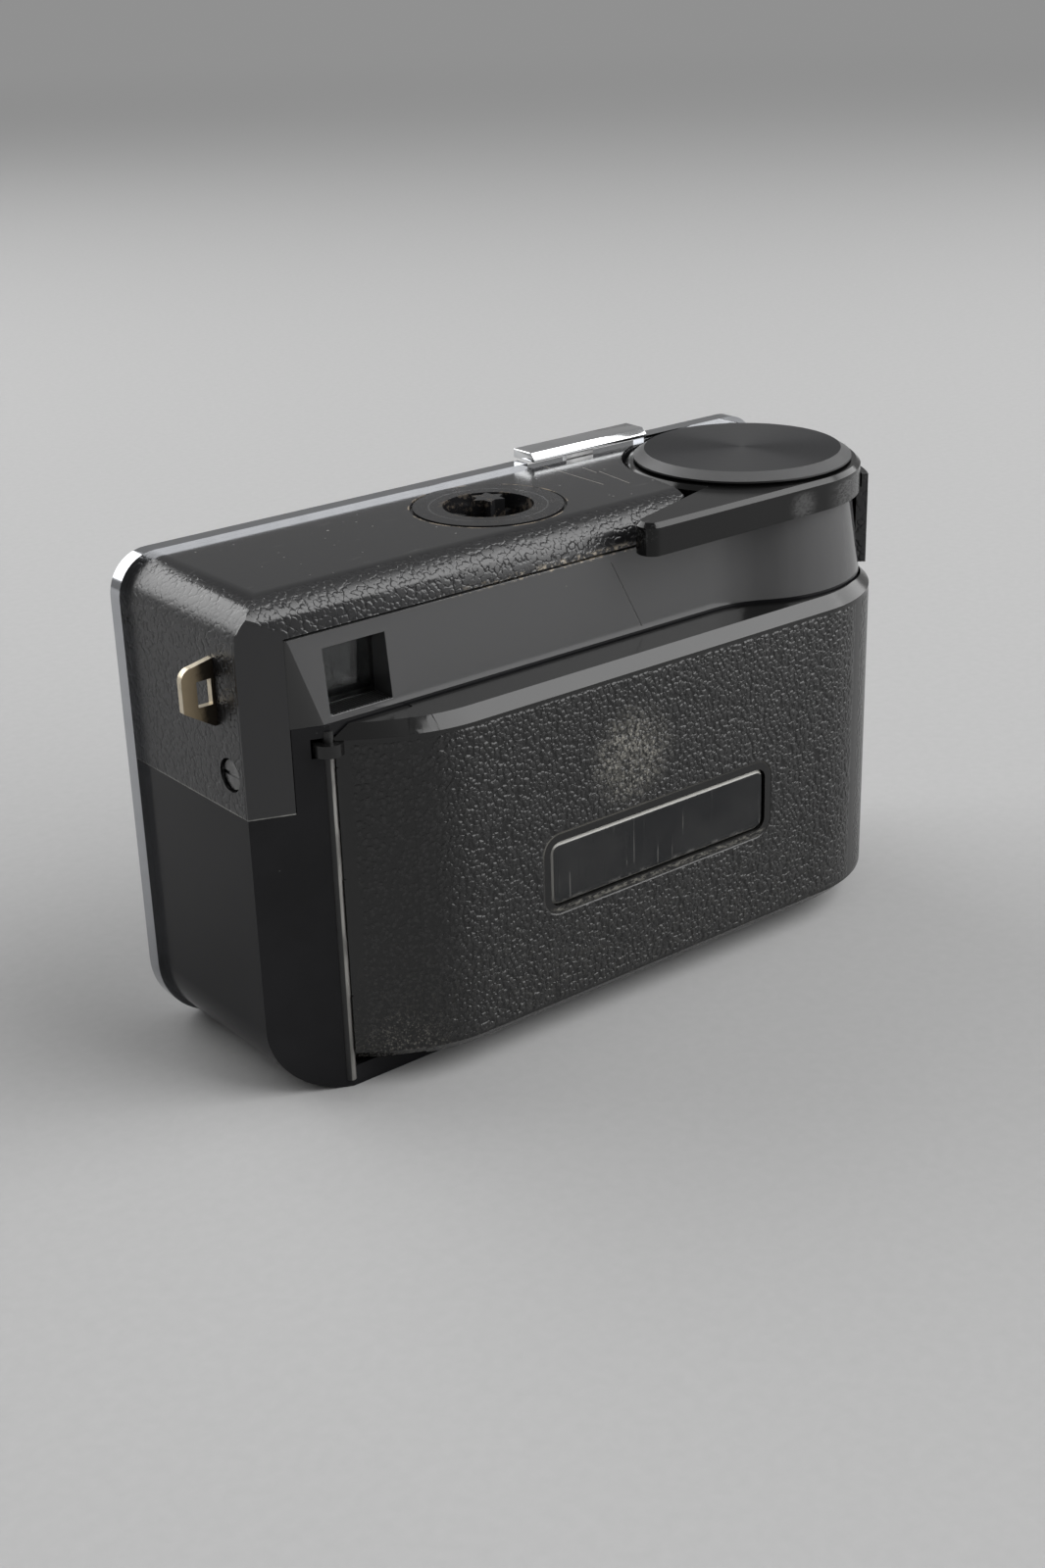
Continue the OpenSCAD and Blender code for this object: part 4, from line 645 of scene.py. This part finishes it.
def roundedCopy(node, name, wide=0, narrow=0, shortest=0.35, least=30, where=None, reshape=None):
    # the solid's own shape in place of the solid, with its edges rounded
    # wide is for edges between least and steep degrees, narrow for steeper ones
    shape = bmesh.new()
    shape.from_mesh(nodes[node].data)
    bmesh.ops.remove_doubles(shape, verts=shape.verts, dist=2e-6)
    bmesh.ops.dissolve_limit(shape, angle_limit=math.radians(0.5), verts=shape.verts, edges=shape.edges)
    if reshape:
        reshape(shape)
    steep = 62

    def free(edge):
        # an edge long enough to round, at a place where it is wanted
        if not edge.is_valid or not edge.is_manifold or edge.calc_length() < shortest * mm:
            return False
        return where is None or where(*middleOf(edge))

    gentle = [edge for edge in shape.edges if free(edge) and least < degreesAt(edge) < steep]
    if wide and gentle:
        roundEdges(shape, gentle, wide, 4)
    sharp = [edge for edge in shape.edges if free(edge) and degreesAt(edge) >= steep]
    if narrow and sharp:
        roundEdges(shape, sharp, narrow, 3)
    piece = addPiece(name, meshFrom(shape, name, 40), bodyOf[node], slotOf[node])
    smoother = piece.modifiers.new("flatFaces", "WEIGHTED_NORMAL")
    smoother.keep_sharp = True
    smoother.weight = 80
    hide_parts(node)
    return piece


def roundedPlate(name, body, slot, middle, size, corner, y0, y1, edge, steps=8):
    # rounded rectangle in X and Z between two places on Y, with a chamfer at the second
    shape = bmesh.new()

    def outline(inset, y):
        halfW, halfH, r = size[0] / 2 - inset, size[1] / 2 - inset, corner - inset
        made = []
        for sx, sz, start in ((1, 1, 0), (-1, 1, 90), (-1, -1, 180), (1, -1, 270)):
            for step in range(steps + 1):
                a = math.radians(start + 90 * step / steps)
                x = middle[0] + sx * (halfW - r) + r * math.cos(a)
                z = middle[1] + sz * (halfH - r) + r * math.sin(a)
                made.append(shape.verts.new(toMetres(x, y, z)))
        return [shape.edges.new((made[i - 1], made[i])) for i in range(len(made))]

    loops = [outline(0, y0), outline(0, y1 - edge), outline(edge, y1)]
    for first, second in zip(loops, loops[1:]):
        bmesh.ops.bridge_loops(shape, edges=first + second)
    for end in (loops[0], loops[-1]):
        bmesh.ops.edgeloop_fill(shape, edges=end)
    bmesh.ops.recalc_face_normals(shape, faces=shape.faces)
    return addPiece(name, meshFrom(shape, name, 25), body, slot)


def awayFromLever(x, y, z):
    # the cover's room for the winding lever keeps its plain edges
    v = dict(radius=17.5, low=60.0, high=65.9)
    return math.hypot(x - hubAt[0], y - hubAt[1]) > v["radius"] or not v["low"] <= z <= v["high"]


def awayFromPin(x, y, z):
    # the door's knuckle keeps its plain edges
    v = dict(pin=(44.1, 11.96), radius=2.6)
    return math.hypot(x - v["pin"][0], y - v["pin"][1]) > v["radius"]


def softenKink(shape):
    # the door's back turns towards the hinge in one long soft bend
    # the solid has a kink there, rounded with an arc from arc to arcEnd
    v = dict(back=19.35, kink=34.22, slope=0.704, reach=7.0, arc=32.4, arcEnd=35.86, arcRise=0.0918,
             step=1.0, floor=13.4)
    x = v["kink"] - v["reach"]
    while x < v["kink"] + v["reach"] + 0.1:
        everything = list(shape.verts) + list(shape.edges) + list(shape.faces)
        bmesh.ops.bisect_plane(shape, geom=everything, dist=1e-6, plane_co=toMetres(x, 0, 0),
                               plane_no=(1, 0, 0))
        x += v["step"]
    for vert in shape.verts:
        x, y = vert.co.x / mm, vert.co.y / mm
        along = x - v["kink"] + v["reach"]
        if y < v["floor"] or not 0 < along < 2 * v["reach"]:
            continue
        old = v["slope"] * (x - v["kink"])
        if x < v["arcEnd"]:
            old = v["arcRise"] * max(x - v["arc"], 0) ** 2
        soft = v["slope"] * along ** 2 / (4 * v["reach"])
        outside = abs(v["back"] - old - y) < 0.2
        vert.co.y = (v["back"] - soft if outside else y - max(soft - old, 0)) * mm


def shortenTip(shape):
    # the arm's end is drawn in towards the hub
    v = dict(start=-20.0, share=0.875)
    for vert in shape.verts:
        if vert.co.x / mm > v["start"]:
            vert.co.x = (v["start"] + (vert.co.x / mm - v["start"]) * v["share"]) * mm


def flattenLeaf(shape):
    # the leaf lies a little lower, clear of the stem
    v = dict(share=0.77)
    low = min(vert.co.z for vert in shape.verts)
    for vert in shape.verts:
        vert.co.z = low + (vert.co.z - low) * v["share"]


def spunDisc():
    # the winding disc, spun from its section, with a UV map that runs round it
    v = dict(neck=13.9, edge=15.4, bevel=1.5, chamfer=0.1, low=65.8, rim=66.4, under=66.05, high=67.4,
             steps=144, rounds=(9, 4, 0.3, 0), mapScale=20)
    section = [(0, v["low"]), (v["neck"], v["low"]), (v["neck"], v["under"]),
               (v["edge"] - v["chamfer"], v["under"]), (v["edge"], v["under"] + v["chamfer"]),
               (v["edge"], v["rim"]), (v["edge"] - v["bevel"], v["high"])]
    section += [(r, v["high"]) for r in v["rounds"]]
    centre = toMetres(*hubAt, 0)
    shape = bmesh.new()
    points = [shape.verts.new(centre + toMetres(r, 0, z)) for r, z in section]
    edges = [shape.edges.new(pair) for pair in zip(points, points[1:])]
    bmesh.ops.spin(shape, geom=points + edges, cent=centre, axis=(0, 0, 1), angle=2 * math.pi,
                   steps=v["steps"], use_merge=True)
    bmesh.ops.remove_doubles(shape, verts=shape.verts, dist=1e-6)
    bmesh.ops.recalc_face_normals(shape, faces=shape.faces)
    around = shape.loops.layers.uv.new("around")
    for face in shape.faces:
        middle = face.calc_center_median() - centre
        home = math.atan2(middle.y, middle.x)
        for loop in face.loops:
            at = loop.vert.co - centre
            r = math.hypot(at.x, at.y)
            turn = home
            if r > 1e-5:
                # the short way round from the face's own direction, so that no face spans the seam
                turn += math.remainder(math.atan2(at.y, at.x) - home, 2 * math.pi)
            loop[around].uv = (turn / (2 * math.pi) + 0.5, r * v["mapScale"])
    disc = addPiece("discShell", meshFrom(shape, "discShell", 15), "lever", "disc_metal")
    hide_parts("hub_disc")


def chromeBar():
    # release bar with a broad bevel along its back edge
    v = dict(low=(-32.2, -20.55, 66.65), high=(-10.9, -16.0, 67.95), broad=0.8, fine=0.15)
    shape = bmesh.new()
    size = [b - a for a, b in zip(v["low"], v["high"])]
    centre = [(a + b) / 2 for a, b in zip(v["low"], v["high"])]
    place = Matrix.Translation(toMetres(*centre))
    bmesh.ops.create_cube(shape, size=mm, matrix=place @ Matrix.Diagonal((*size, 1)))
    backY, topZ = v["high"][1] - 0.01, v["high"][2] - 0.01
    back = [edge for edge in shape.edges
            if all(vert.co.y / mm > backY and vert.co.z / mm > topZ for vert in edge.verts)]
    roundEdges(shape, back, v["broad"], 1)
    roundEdges(shape, list(shape.edges), v["fine"], 3)
    bar = addPiece("barShell", meshFrom(shape, "barShell", 35), "release", "bar_chrome")
    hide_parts("release_bar")


def topLines():
    # plain engraved lines on the cover, filled with pale paint
    v = dict(top=65.97, wide=0.16, deep=0.08, chamfer=0.02, paint=(0.2, 0.19, 0.17))
    ends = [((-12.33, -15.9), (-12.0, -2.2)),
            ((-15.8, -11.2), (-15.4, -7.6)),
            ((-16.1, -7.9), (-15.0, -0.2))]
    shape = bmesh.new()
    for (x0, y0), (x1, y1) in ends:
        run = Vector((x1 - x0, y1 - y0, 0))
        place = Matrix.Translation(toMetres((x0 + x1) / 2, (y0 + y1) / 2, v["top"]))
        turn = Matrix.Rotation(math.atan2(run.y, run.x), 4, "Z")
        size = Matrix.Diagonal((run.length, v["wide"], v["deep"], 1))
        bar = bmesh.ops.create_cube(shape, size=mm, matrix=place @ turn @ size)
        edges = list({edge for vert in bar["verts"] for edge in vert.link_edges})
        roundEdges(shape, edges, v["chamfer"], 1)
    paint = moulded("linePaint", v["paint"], 0.5)
    addPiece("topLines", meshFrom(shape, "topLines"), "case", "lug_brass", paint)


def eyepieceRibs():
    # fine ribs on the floor of the eyepiece opening, as long as the panel's slant leaves room
    v = dict(x0=34.5, x1=43.3, step=0.42, y0=8.3, longest=11.7, z=50.87, high=0.16, slantAt=(54.0, 8.15))
    shape = bmesh.new()
    lie = Matrix.Rotation(math.radians(90), 4, "X") @ Matrix.Rotation(math.radians(90), 4, "Z")
    for i in range(int((v["x1"] - v["x0"]) / v["step"])):
        x = v["x0"] + (i + 0.5) * v["step"]
        back = min(v["slantAt"][1] + slantRise * (v["slantAt"][0] - x), v["longest"])
        place = Matrix.Translation(toMetres(x, (v["y0"] + back) / 2, v["z"]))
        bmesh.ops.create_cone(shape, cap_ends=True, segments=3, radius1=v["high"] * mm,
                              radius2=v["high"] * mm, depth=(back - v["y0"]) * mm, matrix=place @ lie)
    addPiece("eyepieceRibs", meshFrom(shape, "eyepieceRibs"), "case", "tunnel_black")


def windowPane():
    v = dict(size=(38.4, 9.0), corner=1.5, inside=17.6, outside=19.25, chamfer=0.5)
    pane = roundedPlate("windowPane", "door", "window_clear", windowAt, v["size"], v["corner"],
                        v["inside"], v["outside"], v["chamfer"])
    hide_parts("door_window")


print("case")
roundedCopy("lower_body", "bodyShell", wide=0.4, narrow=0.25, shortest=0.6)
roundedCopy("top_cover", "coverShell", narrow=0.35, shortest=0.6, where=awayFromLever)
roundedCopy("finder_panel", "panelShell", narrow=0.15, shortest=0.6)

print("door")
roundedCopy("back_door", "doorShell", wide=1.1, narrow=0.3, shortest=0.3, least=22,
            where=awayFromPin, reshape=softenKink)

print("lever and socket")
roundedCopy("winding_lever", "leverShell", wide=0.1, narrow=0.1, shortest=0.25, reshape=shortenTip)
roundedCopy("release_spring", "springShell", reshape=flattenLeaf)
roundedCopy("strap_lug", "lugShell", wide=0.12, narrow=0.16, shortest=0.3)
spunDisc()
chromeBar()
topLines()
eyepieceRibs()

print("window")
windowPane()


# Floor, lamps and camera

def seenRays(tree):
    # the rays that look at the background: straight, in a reflection or through glass
    rays = tree.nodes.new("ShaderNodeLightPath")
    seen = [rays.outputs[name] for name in ("Is Camera Ray", "Is Glossy Ray", "Is Transmission Ray")]
    return largest(tree, *seen)


def floorFinish(backdrop):
    v = dict(darker=(0.42, 0.42, 0.42), paler=(0.46, 0.46, 0.46), rough=0.8, gloss=0.1,
             near=350, far=1700)
    finish, tree, shader = startFinish("floorPale", v["gloss"])
    point, x, y, _ = pointInMm(tree)
    speckle = noise(tree, point, 0.6, 3)
    tree.links.new(blendColour(tree, speckle, v["darker"], v["paler"]), shader.inputs["Base Color"])
    shader.inputs["Roughness"].default_value = v["rough"]
    # far off the floor passes into the backdrop
    away = distanceToAxis(tree, x, y, 0, 0)
    far = times(tree, ramp(tree, away, v["near"], v["far"]), seenRays(tree))
    glow = tree.nodes.new("ShaderNodeEmission")
    glow.inputs["Color"].default_value = (backdrop, backdrop, backdrop, 1)
    both = tree.nodes.new("ShaderNodeMixShader")
    tree.links.new(far, both.inputs[0])
    tree.links.new(shader.outputs[0], both.inputs[1])
    tree.links.new(glow.outputs[0], both.inputs[2])
    tree.links.new(both.outputs[0], tree.nodes["Material Output"].inputs["Surface"])
    return finish


def layFloor(backdrop):
    v = dict(half=6.0)
    shape = bmesh.new()
    bmesh.ops.create_grid(shape, x_segments=2, y_segments=2, size=v["half"])
    mesh = bpy.data.meshes.new("floor")
    shape.to_mesh(mesh)
    shape.free()
    mesh.materials.append(floorFinish(backdrop))
    floor = bpy.data.objects.new("floor", mesh)
    bpy.context.scene.collection.objects.link(floor)


def areaLamp(name, direction, distance, size, power):
    # a lamp that faces the middle of the case
    lamp = bpy.data.lights.new(name, "AREA")
    lamp.shape = "RECTANGLE"
    lamp.size, lamp.size_y = size
    lamp.energy = power
    holder = bpy.data.objects.new(name, lamp)
    bpy.context.scene.collection.objects.link(holder)
    aim = Vector(direction).normalized()
    holder.location = aim * distance + toMetres(0, 0, 35)
    holder.rotation_mode = "QUATERNION"
    holder.rotation_quaternion = (-aim).to_track_quat("-Z", "Y")


def lightUp(backdrop):
    v = dict(world=0.12)
    areaLamp("lampBehindCamera", (-0.57, 0.6, 0.56), distance=1.7, size=(1.7, 2.1), power=44.0)
    areaLamp("lampLeft", (0.3, -0.75, 0.5), distance=1.0, size=(1.0, 0.75), power=7.5)
    areaLamp("lampRight", (-0.93, 0.05, 0.37), distance=1.0, size=(0.5, 0.45), power=1.8)
    areaLamp("lampAbove", (-0.1, -0.15, 1.0), distance=4.5, size=(3.0, 3.0), power=16.0)
    world = bpy.data.worlds.new("studio")
    bpy.context.scene.world = world
    world.use_nodes = True
    tree = world.node_tree
    back = tree.nodes["Background"]
    back.inputs[0].default_value = (1, 1, 1, 1)
    strength = plus(tree, v["world"], times(tree, seenRays(tree), backdrop - v["world"]))
    tree.links.new(strength, back.inputs[1])


def setCamera():
    v = dict(place=(173.293, 215.485, 143.620), focal=2190.894, longSide=1600,
             right=(-0.780795, 0.624125, -0.028749), down=(0.265482, 0.289768, -0.919540),
             forward=(-0.565578, -0.725605, -0.391943))
    data = bpy.data.cameras.new("camera")
    data.sensor_width = 36
    data.lens = v["focal"] * 36 / v["longSide"]
    data.clip_start, data.clip_end = 0.01, 50
    camera = bpy.data.objects.new("camera", data)
    bpy.context.scene.collection.objects.link(camera)
    turn = Matrix((v["right"], [-d for d in v["down"]], [-f for f in v["forward"]])).transposed()
    camera.matrix_world = Matrix.Translation(toMetres(*v["place"])) @ turn.to_4x4()
    bpy.context.scene.camera = camera


print("stage")
backdrop = 0.28
layFloor(backdrop)
lightUp(backdrop)
setCamera()
bpy.context.scene.view_settings.view_transform = "Standard"
